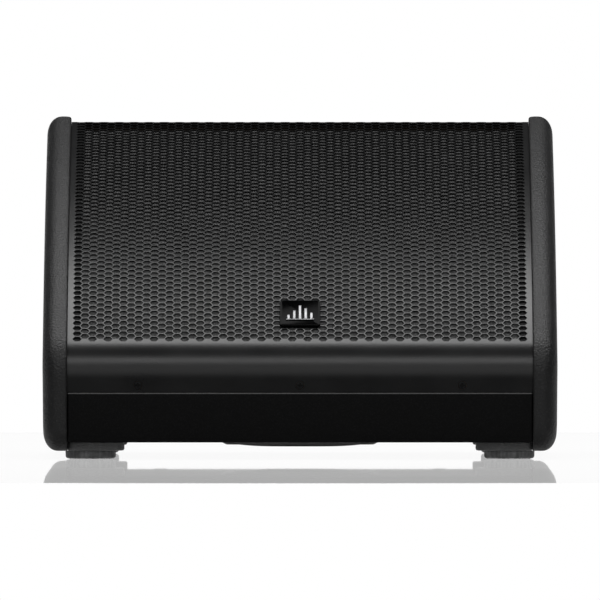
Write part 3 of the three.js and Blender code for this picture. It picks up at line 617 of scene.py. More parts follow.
def black_oxide(name):
    """Oiled black steel, mottled a little paler in patches."""
    look = Look(name, Metallic=0.25, Specular_IOR_Level=0.4)
    mottle = look.noise(1.6 * MM, 4, 0.65)
    look.put(
        Base_Color=look.mix(mottle.ramp(0.45, 0.75), (0.005, 0.005, 0.0055), (0.02, 0.0196, 0.019)),
        Roughness=0.36 + mottle * 0.25,
    )
    look.bump(mottle, 0.04 * MM, 0.5)
    return look.material


def plywood(name):
    """Birch ply: long grain over a broader figure."""
    look = Look(name, Specular_IOR_Level=0.3)
    grain = look.noise(2.2 * MM, 5, 0.65, at=look.stretched(0.06, 1, 1))
    figure = look.noise(30 * MM, 3, at=look.stretched(0.3, 1, 1))
    tone = (grain * 0.7 + figure * 0.5).ramp(0.4, 0.85)
    look.put(
        Base_Color=look.mix(tone, (0.42, 0.27, 0.14), (0.23, 0.125, 0.055)),
        Roughness=0.62 + grain * 0.2,
    )
    look.bump(grain, 0.15 * MM, 0.6)
    return look.material


def ceramic(name):
    """Dark sintered magnet with chipped, grainy skin."""
    look = Look(name, Specular_IOR_Level=0.4)
    grit = look.noise(0.8 * MM, 4, 0.7)
    chips = look.cells(5 * MM).ramp(0.08, 0.2)
    look.put(
        Base_Color=look.mix(grit * chips, (0.05, 0.05, 0.052), (0.014, 0.014, 0.015)),
        Roughness=0.6 + grit * 0.25,
    )
    look.bump(grit + chips * 0.6, 0.12 * MM, 0.7)
    return look.material


def pressed_paper(name):
    """Black pulp cone with fibres in it."""
    look = Look(name, Specular_IOR_Level=0.25)
    fibres = look.noise(1.2 * MM, 5, 0.75, at=look.stretched(1, 0.25, 1))
    pulp = look.noise(3.5 * MM, 3)
    tone = (fibres * 0.7 + pulp * 0.3).ramp(0.4, 0.7)
    look.put(
        Base_Color=look.mix(tone, (0.007, 0.007, 0.008), (0.04, 0.038, 0.036)),
        Roughness=0.8 + fibres * 0.15,
    )
    look.bump(fibres + pulp * 0.6, 0.2 * MM, 0.8)
    return look.material


def treated_cloth(name, shade):
    """Plain-woven cloth, stiff with resin."""
    look = Look(name, Specular_IOR_Level=0.3)
    x, y, z = look.axes(look.coordinates)
    turn = 2 * math.pi / (1.1 * MM)
    weave = (x * turn).sine() * ((y + z) * turn).sine()
    resin = look.noise(6 * MM, 3)
    look.put(
        Base_Color=look.mix(weave.ramp(-0.8, 0.8), times(shade, 0.55), times(shade, 1.3)),
        Roughness=0.7 - resin.ramp(0.4, 0.7) * 0.2,
    )
    look.bump(weave, 0.15 * MM, 0.8)
    return look.material


def solder_mask(name):
    """Green board with paler tracks under the mask."""
    look = Look(name, Specular_IOR_Level=0.5)
    x, y, _ = look.axes(look.coordinates)
    across, along = (x * (2 * math.pi / (7 * MM))).sine(), (y * (2 * math.pi / (11 * MM))).sine()
    track = (across * along).ramp(0.25, 0.32)
    weave = look.noise(0.5 * MM, 2)
    look.put(
        Base_Color=look.mix(track, (0.008, 0.05, 0.016), (0.03, 0.13, 0.04)),
        Roughness=0.28 + weave * 0.1,
    )
    look.bump(track + weave * 0.2, 0.04 * MM, 0.6)
    return look.material


def enamelled_copper(name):
    """Close turns of enamelled wire."""
    look = Look(name, Metallic=0.9)
    _, _, z = look.axes(look.coordinates)
    turns = (z * (2 * math.pi / (1.2 * MM))).sine()
    tone = look.noise(5 * MM, 3)
    look.put(
        Base_Color=look.mix(tone.ramp(0.3, 0.7), (0.42, 0.12, 0.035), (0.62, 0.24, 0.08)),
        Roughness=0.26 + (1 - turns.ramp(-1, 0.2)) * 0.25,
    )
    look.bump(turns, 0.25 * MM, 0.7)
    return look.material


LOOKS = {}


def look(slot):
    """The finish of one of the record's material slots, made once."""
    paint = bpy.context.scene.wedge_paint
    makers = {
        "textured_paint": lambda: textured_paint("cabinet_paint", tuple(paint.panel)),
        "cheek_moulding": lambda: grained_moulding("grained_moulding", tuple(paint.cheek)),
        # The foot blocks and pads take the pale painted-light colours from the paint settings.
        "foot_moulding": lambda: grained_moulding("foot_moulding", tuple(paint.foot), 1.3),
        "screen_paint": lambda: powder_coat("screen_powder_coat", tuple(paint.screen)),
        "foot_rubber": lambda: rubber("foot_rubber", tuple(paint.rubber)),
        "black_foam": lambda: open_foam("open_foam", tuple(paint.foam)),
        "gloss_black": lambda: gloss_black("gloss_black"),
        "silver_mark": lambda: brushed("brushed_silver", (0.42, 0.42, 0.43), 0.3),
        "black_fastener": lambda: black_oxide("black_oxide"),
        "plywood": lambda: plywood("birch_plywood"),
        "black_casting": lambda: powder_coat("casting_coat", (0.014, 0.014, 0.015)),
        "ferrite": lambda: ceramic("magnet_ceramic"),
        "plated_steel": lambda: brushed("zinc_plate", (0.55, 0.53, 0.47), 0.32),
        "cone_paper": lambda: pressed_paper("pulp_cone"),
        "spider_cloth": lambda: treated_cloth("resin_cloth", (0.18, 0.1, 0.045)),
        "black_plastic": lambda: smooth_plastic("fine_black_plastic", (0.009, 0.009, 0.0095)),
        "circuit_board": lambda: solder_mask("solder_mask"),
        "copper_winding": lambda: enamelled_copper("enamelled_copper"),
        "film_capacitor": lambda: smooth_plastic("yellow_film_wrap", (0.42, 0.26, 0.02), 0.25, 0.8),
    }
    if slot not in LOOKS:
        LOOKS[slot] = makers[slot]()
    return LOOKS[slot]


# ------------------------------------------------------------------ pieces
class Maker:
    """What every piece's operator has in common."""

    bl_options = {"REGISTER", "UNDO"}

    @property
    def screen(self):
        return bpy.context.scene.wedge_screen

    @property
    def fittings(self):
        return bpy.context.scene.wedge_fittings


def hexagon_columns(name, screen, count, first_x, first_along, rows, open_holes=True):
    """Columns of hexagonal cells, side by side at every second place across the sheet."""
    radius = screen.pitch / math.sqrt(3)
    deselect()
    bpy.ops.mesh.primitive_circle_add(
        vertices=6, radius=radius, fill_type="NGON", rotation=(0, 0, math.radians(30))
    )
    cell = named(name)
    cell.location = (first_x, first_along + screen.pitch / 2, 0)
    settle(cell)
    if open_holes:
        bpy.ops.object.mode_set(mode="EDIT")
        bpy.ops.mesh.select_all(action="SELECT")
        bpy.ops.mesh.inset(thickness=(screen.pitch - screen.hole) / 2, depth=0)
        bpy.ops.mesh.delete(type="FACE")
        bpy.ops.object.mode_set(mode="OBJECT")
    for steps, way in ((rows, (0, screen.pitch, 0)), (count, (3 * radius, 0, 0))):
        modify(
            cell, "ARRAY", count=steps, use_relative_offset=False, use_constant_offset=True,
            constant_offset_displace=way,
        )
    return cell


def extrude_edges_at(piece, along, stops):
    """Draws the sheet out from its straight edge at one place to each of several others."""
    choose(piece)
    bpy.ops.object.mode_set(mode="EDIT")
    mesh = bmesh.from_edit_mesh(piece.data)
    bpy.ops.mesh.select_all(action="DESELECT")
    for edge in mesh.edges:
        edge.select = edge.is_boundary and all(abs(v.co.y - along) < 0.05 * MM for v in edge.verts)
    bmesh.update_edit_mesh(piece.data)
    for stop in stops:
        bpy.ops.mesh.extrude_region_move(TRANSFORM_OT_translate={"value": (0, stop - along, 0)})
        along = stop
    bpy.ops.object.mode_set(mode="OBJECT")


def trim(piece, place, outward):
    choose(piece)
    bpy.ops.object.mode_set(mode="EDIT")
    bpy.ops.mesh.select_all(action="SELECT")
    bpy.ops.mesh.bisect(plane_co=place, plane_no=outward, clear_outer=True)
    bpy.ops.object.mode_set(mode="OBJECT")


def screw_places():
    """Each of the screen's screws: its side, its middle and the radius of its head."""
    for side in ("left", "centre", "right"):
        _, _, middle, half = measured(f"screen_screw_{side}")
        yield side, middle, half.x


class WEDGE_OT_screen(Maker, bpy.types.Operator):
    """Perforates a flat sheet with hexagonal holes and bends it to the line of the face"""

    bl_idname = "wedge.screen"
    bl_label = "Perforated screen"

    def execute(self, context):
        s = self.screen
        line = FaceLine(s)
        column = s.pitch * math.sqrt(3) / 2
        half = s.pitch / 2
        low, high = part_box("screen")
        cells = []
        for short in (0, 1):
            count = s.columns + 1 - short
            left = (short - s.columns) * column
            start = short * half
            rows = s.rows - short
            cells.append(hexagon_columns("holes", s, count, left, start, rows))
            for along in (start - s.pitch, start + rows * s.pitch):
                cells.append(hexagon_columns("blank_row", s, count, left, along, 1, False))
            beside = (s.columns + 2 - short) * column
            for x in (-beside, beside):
                cells.append(hexagon_columns(
                    "blank_column", s, 1, x, start - s.pitch, s.rows + 2, False
                ))
        sheet = join(*cells)
        sheet.name = sheet.data.name = "perforated_screen"
        tidy_mesh(sheet, 0.02 * MM)
        bottom = -s.margin - 1 * MM
        top = s.rows * s.pitch + 1 * MM
        trim(sheet, (high.x, 0, 0), (1, 0, 0))
        trim(sheet, (low.x, 0, 0), (-1, 0, 0))
        trim(sheet, (0, bottom, 0), (0, -1, 0))
        trim(sheet, (0, top, 0), (0, 1, 0))
        low_steps, top_steps = 20, 8
        bend = [-s.margin - line.bend_arc * i / low_steps for i in range(1, low_steps + 1)]
        extrude_edges_at(sheet, bottom, [*bend, bend[-1] - s.band])
        arc_end = s.face + line.top_arc
        bend = [top + (arc_end - top) * i / top_steps for i in range(1, top_steps + 1)]
        extrude_edges_at(sheet, top, [*bend, arc_end + s.lip])
        tidy_mesh(sheet, 0.02 * MM)
        modify(sheet, "SOLIDIFY", thickness=s.gauge, offset=-1, use_even_offset=False)
        up = max(v.co.z for v in sheet.data.vertices)
        for _, place, radius in screw_places():
            along = place.z - line.bend_height - s.margin - line.bend_arc
            bpy.ops.mesh.primitive_cylinder_add(
                vertices=32, radius=radius * 1.08, depth=20 * MM, location=(place.x, along, 0)
            )
            tool = named("screw_hole")
            settle(tool)
            modify(sheet, "BOOLEAN", operation="DIFFERENCE", solver="FAST", object=tool)
            bpy.data.objects.remove(tool)
        for vertex in sheet.data.vertices:
            vertex.co = line.place(vertex.co.x, vertex.co.y, vertex.co.z - up)
        done(sheet, "screen_paint", "screen", smooth=28)
        return {"FINISHED"}


class WEDGE_OT_foam(Maker, bpy.types.Operator):
    """Lays a thin foam lining behind the screen's holes"""

    bl_idname = "wedge.foam"
    bl_label = "Foam lining"

    def execute(self, context):
        line = FaceLine(self.screen)
        low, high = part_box("screen_foam")
        gap, thickness, end_margin = 0.3 * MM, 4 * MM, 2 * MM
        top = 0
        while line.at(top)[0] <= high.y - end_margin:
            top += 1 * MM
        deselect()
        bpy.ops.mesh.primitive_grid_add(x_subdivisions=24, y_subdivisions=60, size=1)
        foam = named("foam_lining")
        foam.scale = (high.x - low.x, top, 1)
        foam.location = (0, top / 2, 0)
        settle(foam)
        modify(foam, "SOLIDIFY", thickness=thickness, offset=-1)
        bevel(foam, 0.6 * MM, 2)
        up = max(v.co.z for v in foam.data.vertices)
        for vertex in foam.data.vertices:
            out = vertex.co.z - up - self.screen.gauge - gap
            vertex.co = line.place(vertex.co.x, vertex.co.y, out)
        done(foam, "black_foam", "screen_foam")
        return {"FINISHED"}


class WEDGE_OT_cheeks(Maker, bpy.types.Operator):
    """Lofts the two end cheeks round the line of the face"""

    bl_idname = "wedge.cheeks"
    bl_label = "End cheeks"

    def crest(self, low):
        """The highest line of the edge, all the way round: Y, Z and the slope there."""
        c = bpy.context.scene.wedge_cheeks
        s = self.screen
        line = FaceLine(s, face=s.face - c.top_short, top_radius=c.corner - c.proud)
        bottom = low.z + c.corner
        upright = line.bend_height - bottom
        points = [(low.y, bottom + upright * i / 6, math.pi / 2) for i in range(6)]
        places = [-s.margin - line.bend_arc * (1 - i / 16) for i in range(17)]
        places += [line.face * i / 60 for i in range(61)]
        places += [line.face + line.top_arc * i / 18 for i in range(1, 19)]
        for along in places:
            y, z, slope = line.at(along)
            points.append((y - c.proud * math.sin(slope), z + c.proud * math.cos(slope), slope))
        rear = points[-1][0]
        top = points[-1][1]
        points += [(rear, top + (bottom - top) * i / 20, -math.pi / 2) for i in range(1, 20)]
        for middle, start in ((rear - c.corner, -90), (low.y + c.corner, -180)):
            for i in range(13):
                slope = math.radians(start - 90 * i / 12)
                points.append((
                    middle - c.corner * math.sin(slope), bottom + c.corner * math.cos(slope), slope,
                ))
            if start == -90:
                run = low.y + c.corner - middle
                points += [(middle + run * i / 24, low.z, -math.pi) for i in range(1, 24)]
        return points

    def execute(self, context):
        c = bpy.context.scene.wedge_cheeks
        low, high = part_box("end_cheek_right")
        crest = self.crest(low)
        wide = high.x - low.x
        inner = [(0.0, 1.15), (0.06, 1.0), (0.5, 0.62), (1.2, 0.36), (2.6, 0.16), (5.5, 0.03)]
        section = [(out * MM, c.drop * share) for out, share in inner] + [(c.crest, 0)]
        for i in range(1, 15):
            turn = math.pi / 2 * i / 14
            across, down = (abs(v) ** (2 / c.fullness) for v in (math.sin(turn), math.cos(turn)))
            section.append((c.crest + (wide - c.crest) * across, c.rounding * (1 - down)))
        for name, side in (("left", -1), ("right", 1)):
            rings = []
            for out, drop in section:
                ring = []
                for y, z, a in crest:
                    fall = drop * (min(1, max(0, z / c.drop_from)) if out < c.crest else 1)
                    tuck = c.tuck * max(0, 1 - z / c.tuck_from) * out / wide
                    x = side * (low.x + out - tuck)
                    ring.append(Vector((x, y + fall * math.sin(a), z - fall * math.cos(a))))
                rings.append(ring)
            cheek = skin(f"cheek_{name}", rings)
            node = f"end_cheek_{name}"
            done(cheek, "cheek_moulding", node, smooth=50)
        return {"FINISHED"}


class WEDGE_OT_panels(Maker, bpy.types.Operator):
    """Makes the painted front and rear panels with rounded edges"""

    bl_idname = "wedge.panels"
    bl_label = "Panels"

    def execute(self, context):
        low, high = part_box("front_panel")
        panel = block("front_kick_panel", low, high, 2.2 * MM, 5)
        # The front panel's paint has a painted highlight along its top edge.
        painted_edge_highlight = textured_paint("cabinet_paint_with_painted_edge_highlight", tuple(context.scene.wedge_paint.panel), high.z)
        done(panel, "textured_paint", "front_panel", material=painted_edge_highlight, smooth=40)

        low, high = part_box("rear_panel")
        panel = block("rear_board", low, high, 1.4 * MM, 3)
        hole_low, hole_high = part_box("socket_dish")
        rim = 7.7 * MM
        tool = block(
            "dish_cutter",
            (hole_low.x + rim, low.y - 0.02, hole_low.z + rim),
            (hole_high.x - rim, high.y + 0.02, hole_high.z - rim), 0.2 * MM, 1,
        )
        cut(panel, tool)
        done(panel, "textured_paint", "rear_panel", smooth=40)
        return {"FINISHED"}


class WEDGE_OT_screws(Maker, bpy.types.Operator):
    """Turns the countersunk screws of the screen and the two bolts of the base"""

    bl_idname = "wedge.screws"
    bl_label = "Screws and bolts"

    def execute(self, context):
        width = self.fittings.screw_slot
        for side, place, radius in screw_places():
            low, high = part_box(f"screen_screw_{side}")
            face = low.y
            turn = Matrix.Translation((place.x, face, place.z)) @ Matrix.Rotation(math.pi / 2, 4, "X")
            tip = face - high.y
            profile = [
                (0.3 * MM, tip), (radius * 0.3, tip + 2 * MM), (radius * 0.3, -3 * MM),
                (radius * 0.92, -1.0 * MM), (radius, -0.75 * MM), (radius, -0.45 * MM),
                (radius * 0.9, -0.28 * MM), (radius * 0.3, -0.2 * MM), (0.2 * MM, -0.2 * MM),
            ]
            screw = turned(f"screw_{side}", profile, turn, 32)
            for across, up in ((radius * 0.62, width / 2), (width / 2, radius * 0.62)):
                cut(screw, block(
                    "cross_cutter",
                    (place.x - across, face - 1 * MM, place.z - up),
                    (place.x + across, face + 1.7 * MM, place.z + up), 0.15 * MM, 1,
                ))
            done(screw, "black_fastener", f"screen_screw_{side}")
        for name in ("left", "right"):
            low, high, middle, half = measured(f"base_bolt_{name}")
            radius = half.x
            under = Matrix.Translation((middle.x, middle.y, low.z))
            socket = radius * 0.42
            profile = [
                (0.3 * MM, 4 * MM), (socket, 3.6 * MM), (socket, 0.4 * MM), (socket * 1.12, 0.05 * MM),
                (radius * 0.82, 0), (radius, 0.55 * MM), (radius, 1.2 * MM), (radius * 0.5, 1.25 * MM),
                (radius * 0.5, high.z - low.z), (0.3 * MM, high.z - low.z),
            ]
            bolt = turned(f"bolt_{name}", profile, under, 36)
            done(bolt, "black_fastener", f"base_bolt_{name}")
        return {"FINISHED"}


class WEDGE_OT_feet(Maker, bpy.types.Operator):
    """Moulds the foot blocks and the round rubber pads under them"""

    bl_idname = "wedge.feet"
    bl_label = "Feet"

    def execute(self, context):
        for row in ("front", "rear"):
            for side in ("left", "right"):
                self.block(row, side)
                self.pad(row, side)
        return {"FINISHED"}

    def block(self, row, side):
        node = f"foot_block_{row}_{side}"
        low, high, middle, half = measured(node)
        place = Matrix.Translation((middle.x, middle.y, low.z))
        tall = high.z - low.z
        e = self.fittings.edge
        profile = [
            (2.2 * e, 0), (1.2 * e, 0.12 * e), (0.35 * e, 0.55 * e), (0, 1.3 * e),
            (0, tall - 0.4 * e), (0.4 * e, tall),
        ]
        rings = [
            rounded(half.x - shy, half.y - shy, 12 * MM - shy, height, place, 8) for shy, height in profile
        ]
        piece = skin(f"block_{row}_{side}", rings)
        done(piece, "foot_moulding", node)

    def pad(self, row, side):
        node = f"foot_pad_{row}_{side}"
        low, high, middle, half = measured(node)
        radius = half.x
        place = Matrix.Translation((middle.x, middle.y, low.z))
        tall = high.z - low.z
        r = self.fittings.pad_edge
        profile = [
            (1 * MM, 5 * MM), (5 * MM, 5 * MM), (6.4 * MM, 4.4 * MM), (6.6 * MM, 0.6 * MM), (7.2 * MM, 0),
        ]
        for groove in (12, 17):
            profile += [
                (groove * MM, 0), ((groove + 0.5) * MM, 1 * MM), ((groove + 1.7) * MM, 1 * MM),
                ((groove + 2.2) * MM, 0),
            ]
        for i in range(7):
            turn = math.pi / 2 * i / 6
            profile.append((radius - r * (1 - math.sin(turn)) - 0.15 * MM, r * (1 - math.cos(turn))))
        profile += [
            (radius - 0.1 * MM, tall - 2.6 * MM), (radius, tall - 1.9 * MM), (radius, tall - 0.7 * MM),
            (radius - 0.5 * MM, tall - 0.1 * MM), (radius - 2 * MM, tall), (1 * MM, tall),
        ]
        piece = turned(f"pad_{row}_{side}", profile, place, 72)
        done(piece, "foot_rubber", node, smooth=45)


class WEDGE_OT_badge(Maker, bpy.types.Operator):
    """Makes the glossy badge plate and its plain silver bar mark"""

    bl_idname = "wedge.badge"
    bl_label = "Badge"

    def execute(self, context):
        line = FaceLine(self.screen)
        y, z, slope = line.at(self.fittings.badge_slope_at)
        place = Matrix.Translation((0, y, z)) @ Matrix.Rotation(slope, 4, "X")
        half_x, half_y, bottom, top = 23 * MM, 25 * MM, 0.3 * MM, 2.3 * MM
        profile = [(0.5, 0), (0, 0.3), (0, 1.3), (0.3, 1.8), (1.0, 2.0), (1.7, 1.95), (2.2, 1.75)]
        rings = [
            rounded(half_x - shy * MM, half_y - shy * MM, (4 - shy) * MM, bottom + up * MM, place)
            for shy, up in profile
        ]
        plate = skin("badge", rings)
        done(plate, "gloss_black", "badge_plate")
        self.mark(place, half_x, half_y, top)
        return {"FINISHED"}

    def mark(self, place, half_x, half_y, top):
        foot = half_y * 0.52
        bars = []
        base = top + 0.1 * MM
        for i, share in enumerate((0.3, 0.62, 1, 0.78, 0.45)):
            x = (i - 2) * half_x * 0.28
            half = half_x * 0.06
            bars.append(block(
                "bar", (x - half, -foot, base), (x + half, -foot + 2 * foot * share, base + 0.8 * MM),
                0.3 * MM, 3,
            ))
        end = half_x * 0.68
        bars.append(block(
            "strip", (-end, -foot - 1.2 * MM, base), (end, -foot - 0.05 * MM, base + 0.8 * MM), 0.3 * MM, 3
        ))
        piece = join(*bars)
        piece.name = piece.data.name = "bar_mark"
        piece.data.transform(place)
        done(piece, "silver_mark", "badge_mark")


class WEDGE_OT_handle(Maker, bpy.types.Operator):
    """Moulds the handle tray in the base and the crowned grip across it"""

    bl_idname = "wedge.handle"
    bl_label = "Carry handle"

    def execute(self, context):
        low, high, middle, half = measured("handle_tray")
        plate = Matrix.Translation((middle.x, middle.y, low.z))
        base = 3.3 * MM
        tall = high.z - low.z
        wall = 3 * MM
        well_x, well_y = 14 * MM, 7 * MM
        outline = []

        def ring(shy_x, shy_y, radius, height):
            outline.append(rounded(half.x - shy_x, half.y - shy_y, radius, height, plate, 6))

        ring(well_x, well_y, 10 * MM, base)
        ring(0.4 * MM, 0.4 * MM, 10 * MM, base)
        ring(0, 0, 10 * MM, base - 0.3 * MM)
        ring(4.8 * MM, 4.8 * MM, 10 * MM, 0.5 * MM)
        ring(6 * MM, 6 * MM, 10 * MM, 0)
        ring(well_x + wall - 1.6 * MM, well_y + wall - 1.6 * MM, 8 * MM, 0)
        ring(well_x + wall - 0.5 * MM, well_y + wall - 0.5 * MM, 7.4 * MM, 0.45 * MM)
        ring(well_x + wall, well_y + wall, 7 * MM, 1.6 * MM)
        ring(well_x + wall, well_y + wall, 7 * MM, tall - wall - 2 * MM)
        ring(well_x + wall + 0.6 * MM, well_y + wall + 0.6 * MM, 6.4 * MM, tall - wall - 0.6 * MM)
        ring(well_x + wall + 2 * MM, well_y + wall + 2 * MM, 5 * MM, tall - wall)
        ring(half.x - 0.5 * MM, half.y - 0.5 * MM, 0.3 * MM, tall - wall)
        ring(half.x - 0.5 * MM, half.y - 0.5 * MM, 0.3 * MM, tall)
        ring(well_x + 1 * MM, well_y + 1 * MM, 9 * MM, tall)
        ring(well_x, well_y, 10 * MM, tall - 1 * MM)
        tray = skin("tray", outline, hollow=True)
        done(tray, "cheek_moulding", "handle_tray", smooth=40)
        self.grip()
        return {"FINISHED"}

    def grip(self):
        low, high, middle, half = measured("handle_grip")
        crown = 2.6 * MM
        count = 32
        rings = []
        for i in range(-count, count + 1):
            x = half.x * i / count
            bottom = low.z + crown * abs(i / count) ** 4
            centre = Matrix.Translation((x, middle.y, (bottom + high.z) / 2))
            section = centre @ Matrix.Rotation(math.pi / 2, 4, "Y")
            rings.append(rounded((high.z - bottom) / 2, half.y, 5.5 * MM, 0, section, 6))
        grip = skin("grip", rings)
        done(grip, "cheek_moulding", "handle_grip", smooth=50)


class WEDGE_OT_sockets(Maker, bpy.types.Operator):
    """Makes the socket dish, its steel plate, the two sockets and the mode knob"""

    bl_idname = "wedge.sockets"
    bl_label = "Socket dish"

    def execute(self, context):
        self.dish()
        self.plate()
        for node in ("socket_input", "socket_link"):
            self.socket(node)
        self.knob()
        return {"FINISHED"}

    def facing_rear(self, node):
        """Places a section whose Z points to the rear on the piece's rear face."""
        _, high, middle, _ = measured(node)
        return Matrix.Translation((middle.x, high.y, middle.z)) @ Matrix.Rotation(-math.pi / 2, 4, "X")

    def dish(self):
        low, high, _, half = measured("socket_dish")
        place = self.facing_rear("socket_dish")
        deep = high.y - low.y
        lip, wall = 8 * MM, 2.5 * MM
        profile = [
            (20 * MM + lip, 16 * MM + lip, 4, -deep), (lip + 0.6 * MM, lip + 0.6 * MM, 1, -deep),
            (lip, lip, 1.5, -deep + 0.6 * MM), (lip, lip, 1.5, -wall),
            (0.3 * MM, 0.3 * MM, 8, -wall), (0, 0, 8, -wall + 0.3 * MM),
            (0, 0, 8, -1.2 * MM), (0.5 * MM, 0.5 * MM, 7.6, -0.35 * MM), (1.6 * MM, 1.6 * MM, 7, 0),
            (lip + wall - 1.8 * MM, lip + wall - 1.8 * MM, 7, 0),
            (lip + wall - 0.5 * MM, lip + wall - 0.5 * MM, 6.4, -0.5 * MM),
            (lip + wall, lip + wall, 6, -1.8 * MM), (lip + wall, lip + wall, 6, -deep + wall),
            (20 * MM + lip, 16 * MM + lip, 4, -deep + wall),
        ]
        rings = [
            rounded(half.x - a, half.z - b, radius * MM, height, place, 6)
            for a, b, radius, height in profile
        ]
        dish = skin("dish", rings, hollow=True)
        done(dish, "cheek_moulding", "socket_dish")

    def plate(self):
        low, high, middle, half = measured("socket_plate")
        place = self.facing_rear("socket_plate")
        profile = [(0, low.y - high.y), (0, -0.4 * MM), (0.4 * MM, 0)]
        rings = [
            rounded(half.x - shy, half.z - shy, 6 * MM - shy, height, place, 6) for shy, height in profile
        ]
        plate = skin("sockets_plate", rings)
        holes = [(measured(node)[2], 12.3 * MM) for node in ("socket_input", "socket_link")]
        holes.append((Vector((0, 0, middle.z)), 3.1 * MM))
        for x in (-1, 1):
            for z in (-1, 1):
                corner = (x * (half.x - 8 * MM), 0, middle.z + z * (half.z - 8 * MM))
                holes.append((Vector(corner), 1.8 * MM))
        for place, radius in holes:
            bpy.ops.mesh.primitive_cylinder_add(
                vertices=40, radius=radius, depth=30 * MM, location=(place.x, high.y, place.z),
                rotation=(math.pi / 2, 0, 0),
            )
            tool = named("plate_hole")
            settle(tool)
            cut(plate, tool)
        done(plate, "screen_paint", "socket_plate", smooth=30)

    def socket(self, node):
        low, high, _, half = measured(node)
        place = self.facing_rear(node)
        outer = half.x
        barrel, bore, core = 12 * MM, 10.5 * MM, 4.5 * MM
        floor = -18 * MM
        back = low.y - high.y
        profile = [
            (1 * MM, back), (barrel - 0.6 * MM, back), (barrel, back + 0.6 * MM),
            (barrel, -2.7 * MM), (outer - 0.3 * MM, -2.7 * MM), (outer, -2.4 * MM),
            (outer, -1.0 * MM), (outer - 0.8 * MM, -0.35 * MM), (barrel, 0),
            (bore + 0.5 * MM, 0), (bore, -0.6 * MM), (bore, floor), (core, floor), (core, -6.5 * MM),
            (core - 0.5 * MM, -6 * MM), (1.2 * MM, -6 * MM), (1.0 * MM, -9 * MM), (0.3 * MM, -9 * MM),
        ]
        piece = turned(f"{node}_shell", profile, place, 48)
        for turn in range(4):
            key = Matrix.Rotation(math.pi / 2 * turn, 4, "Z")
            tool = block(
                "key_cutter", (-1 * MM, bore - 0.3 * MM, -9 * MM), (1 * MM, bore + 1 * MM, 1 * MM),
                0.2 * MM, 1,
            )
            tool.data.transform(place @ key)
            cut(piece, tool)
        done(piece, "black_plastic", node, smooth=35)

    def knob(self):
        low, high, _, half = measured("mode_knob")
        radius = half.x
        place = Matrix.Translation((0, high.y, measured("socket_plate")[2].z))
        place = place @ Matrix.Rotation(-math.pi / 2, 4, "X")
        back = low.y - high.y
        profile = [
            (0.4 * MM, back), (2.8 * MM, back + 0.4 * MM), (2.8 * MM, -11 * MM),
            (radius - 0.4 * MM, -11 * MM), (radius, -10.4 * MM), (radius - 0.2 * MM, -8.5 * MM),
            (radius - 0.9 * MM, -2.0 * MM),
            (radius - 1.4 * MM, -1.2 * MM), (radius - 2.4 * MM, -1.0 * MM), (0.4 * MM, -1.0 * MM),
        ]
        body = turned("knob", profile, place, 60)
        for i in range(18):
            turn = Matrix.Rotation(2 * math.pi * (i + 0.5) / 18, 4, "Z")
            tool = block(
                "flute_cutter", (-0.45 * MM, radius - 1.1 * MM, -10 * MM),
                (0.45 * MM, radius + 1 * MM, 1 * MM), 0.15 * MM, 1,
            )
            tool.data.transform(place @ turn)
            cut(body, tool)
        pointer = block(
            "pointer", (-1.2 * MM, 0, -10 * MM), (1.2 * MM, radius + 1.5 * MM, 0), 0.5 * MM, 3
        )
        pointer.data.transform(place @ Matrix.Rotation(math.pi, 4, "Z"))
        knob = join(body, pointer)
        done(knob, "black_plastic", "mode_knob", body="mode_selector")


class WEDGE_OT_inner(Maker, bpy.types.Operator):
    """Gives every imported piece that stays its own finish"""

    bl_idname = "wedge.inner"
    bl_label = "Finishes of the packed pieces"

    def execute(self, context):
        for row in frame["record"]["subparts"]:
            node = frame["nodes"][row["node"]]
            if not node.hide_render:
                node.data.materials.clear()
                node.data.materials.append(look(row["material_slot"]))
        return {"FINISHED"}


# ------------------------------------------------------------------ stage
def soft_light(name, place, target, size_x, size_y, power):
    deselect()
    bpy.ops.object.light_add(type="AREA", location=place)
    light = bpy.context.object
    light.name = name
    light.data.shape = "RECTANGLE"
    light.data.size = size_x
    light.data.size_y = size_y
    light.data.energy = power
    light.rotation_euler = (Vector(target) - Vector(place)).to_track_quat("-Z", "Y").to_euler()


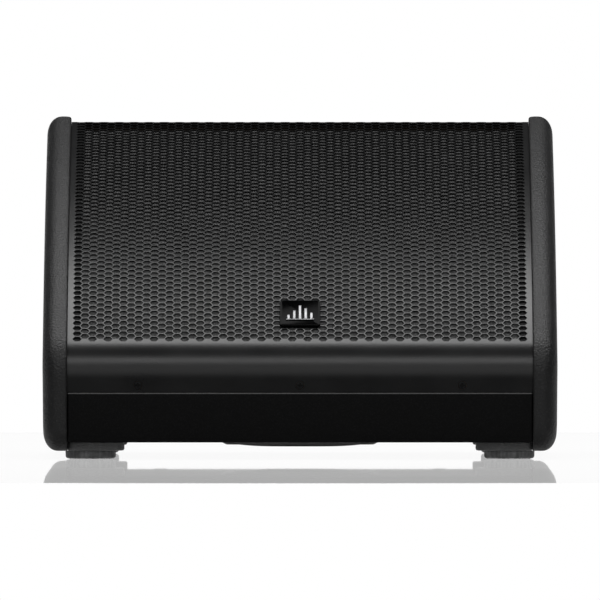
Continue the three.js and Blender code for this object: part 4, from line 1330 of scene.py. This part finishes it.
class WEDGE_OT_stage(bpy.types.Operator):
    """Sets the pale floor, the soft lights and the long-lens camera in front of the wedge"""

    bl_idname = "wedge.stage"
    bl_label = "Stage"

    def execute(self, context):
        scene = bpy.context.scene
        s = scene.wedge_stage
        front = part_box("screen")[0].y
        tilt = math.atan2(s.height - s.aim, s.distance)
        bpy.ops.object.camera_add(
            location=(0, front - s.distance, s.height), rotation=(math.pi / 2 - tilt, 0, 0)
        )
        camera = bpy.context.object
        camera.data.lens = s.lens
        camera.data.sensor_width = 36
        camera.data.clip_end = 100
        scene.camera = camera

        bpy.ops.mesh.primitive_circle_add(
            vertices=96, radius=s.floor, fill_type="NGON", location=(0, 0, -FLOOR_DROP)
        )
        floor = named("pale_floor")
        floor.data.materials.append(self.pale_floor(s.floor))

        soft_light("overhead", (0, 0.62, 2.6), (0, 0.1, 0.2), 3.6, 1.0, s.overhead)
        soft_light("front_strip", (0, -2.2, 2.4), (0, -0.27, 0.1), 3.4, 0.5, s.strip)
        soft_light("low_fill", (0, -3.5, 1.6), (0, -0.27, 0.1), 3.0, 1.3, s.fill)
        self.world(scene)
        scene.view_settings.view_transform = "Standard"
        return {"FINISHED"}

    def pale_floor(self, radius):
        """Pale and slightly glossy, thinning out into the backdrop at its rim."""
        floor = Look("pale_floor", Specular_IOR_Level=0.2)
        x, y, _ = floor.axes(floor.coordinates)
        far = (x * x + y * y) ** 0.5
        mottle = floor.noise(0.35, 2)
        floor.put(
            Base_Color=floor.mix(mottle, (0.86, 0.86, 0.86), (0.88, 0.88, 0.88)),
            Roughness=mottle * 0.01 + 0.012,
            Alpha=far.ramp(radius * 0.985, radius, FLOOR_SHARE, 0),
        )
        return floor.material

    def world(self, scene):
        """White for the eye, and for what surfaces mirror a dim room with a bright low band behind."""
        world = bpy.data.worlds.new("studio")
        scene.world = world
        world.use_nodes = True
        sky = Nodes(world.node_tree)
        white = sky.node("ShaderNodeBackground", {}, (1, 1, 1, 1))
        room = sky.node("ShaderNodeBackground", {}, (0.9, 0.95, 1, 1), ROOM_LIGHT)
        _, rear, up = sky.axes(sky.node("ShaderNodeTexCoord", {}, output="Generated"))
        band = up.ramp(0.07, 0.03) * rear.ramp(0.1, 0.5)
        mirrored = sky.node("ShaderNodeMixShader", {}, band, room, white)
        seen = sky.node("ShaderNodeLightPath", {}, output="Is Camera Ray")
        shown = sky.node("ShaderNodeMixShader", {}, seen, mirrored, white)
        sky.feed(world.node_tree.nodes["World Output"].inputs["Surface"], shown)


class WEDGE_PT_panel(bpy.types.Panel):
    """Lists the pieces and their sizes"""

    bl_idname = "WEDGE_PT_panel"
    bl_label = "Stage Monitor Wedge"
    bl_space_type = "VIEW_3D"
    bl_region_type = "UI"
    bl_category = "Wedge"

    def draw(self, context):
        for operator in OPERATORS:
            self.layout.operator(operator.bl_idname)
        for name, group in SETTINGS.items():
            box = self.layout.box()
            for field in group.__annotations__:
                box.prop(getattr(context.scene, name), field)


OPERATORS = (
    WEDGE_OT_stage,
    WEDGE_OT_screen,
    WEDGE_OT_foam,
    WEDGE_OT_cheeks,
    WEDGE_OT_panels,
    WEDGE_OT_screws,
    WEDGE_OT_feet,
    WEDGE_OT_badge,
    WEDGE_OT_handle,
    WEDGE_OT_sockets,
    WEDGE_OT_inner,
)


def register():
    for group in (*SETTINGS.values(), *OPERATORS, WEDGE_PT_panel):
        bpy.utils.register_class(group)
    for name, group in SETTINGS.items():
        setattr(bpy.types.Scene, name, bpy.props.PointerProperty(type=group))


def unregister():
    for name in SETTINGS:
        delattr(bpy.types.Scene, name)
    for group in (WEDGE_PT_panel, *reversed(OPERATORS), *SETTINGS.values()):
        bpy.utils.unregister_class(group)


def main():
    register()
    for operator in OPERATORS:
        group, name = operator.bl_idname.split(".")
        getattr(getattr(bpy.ops, group), name)()


if __name__ == "__main__":
    main()
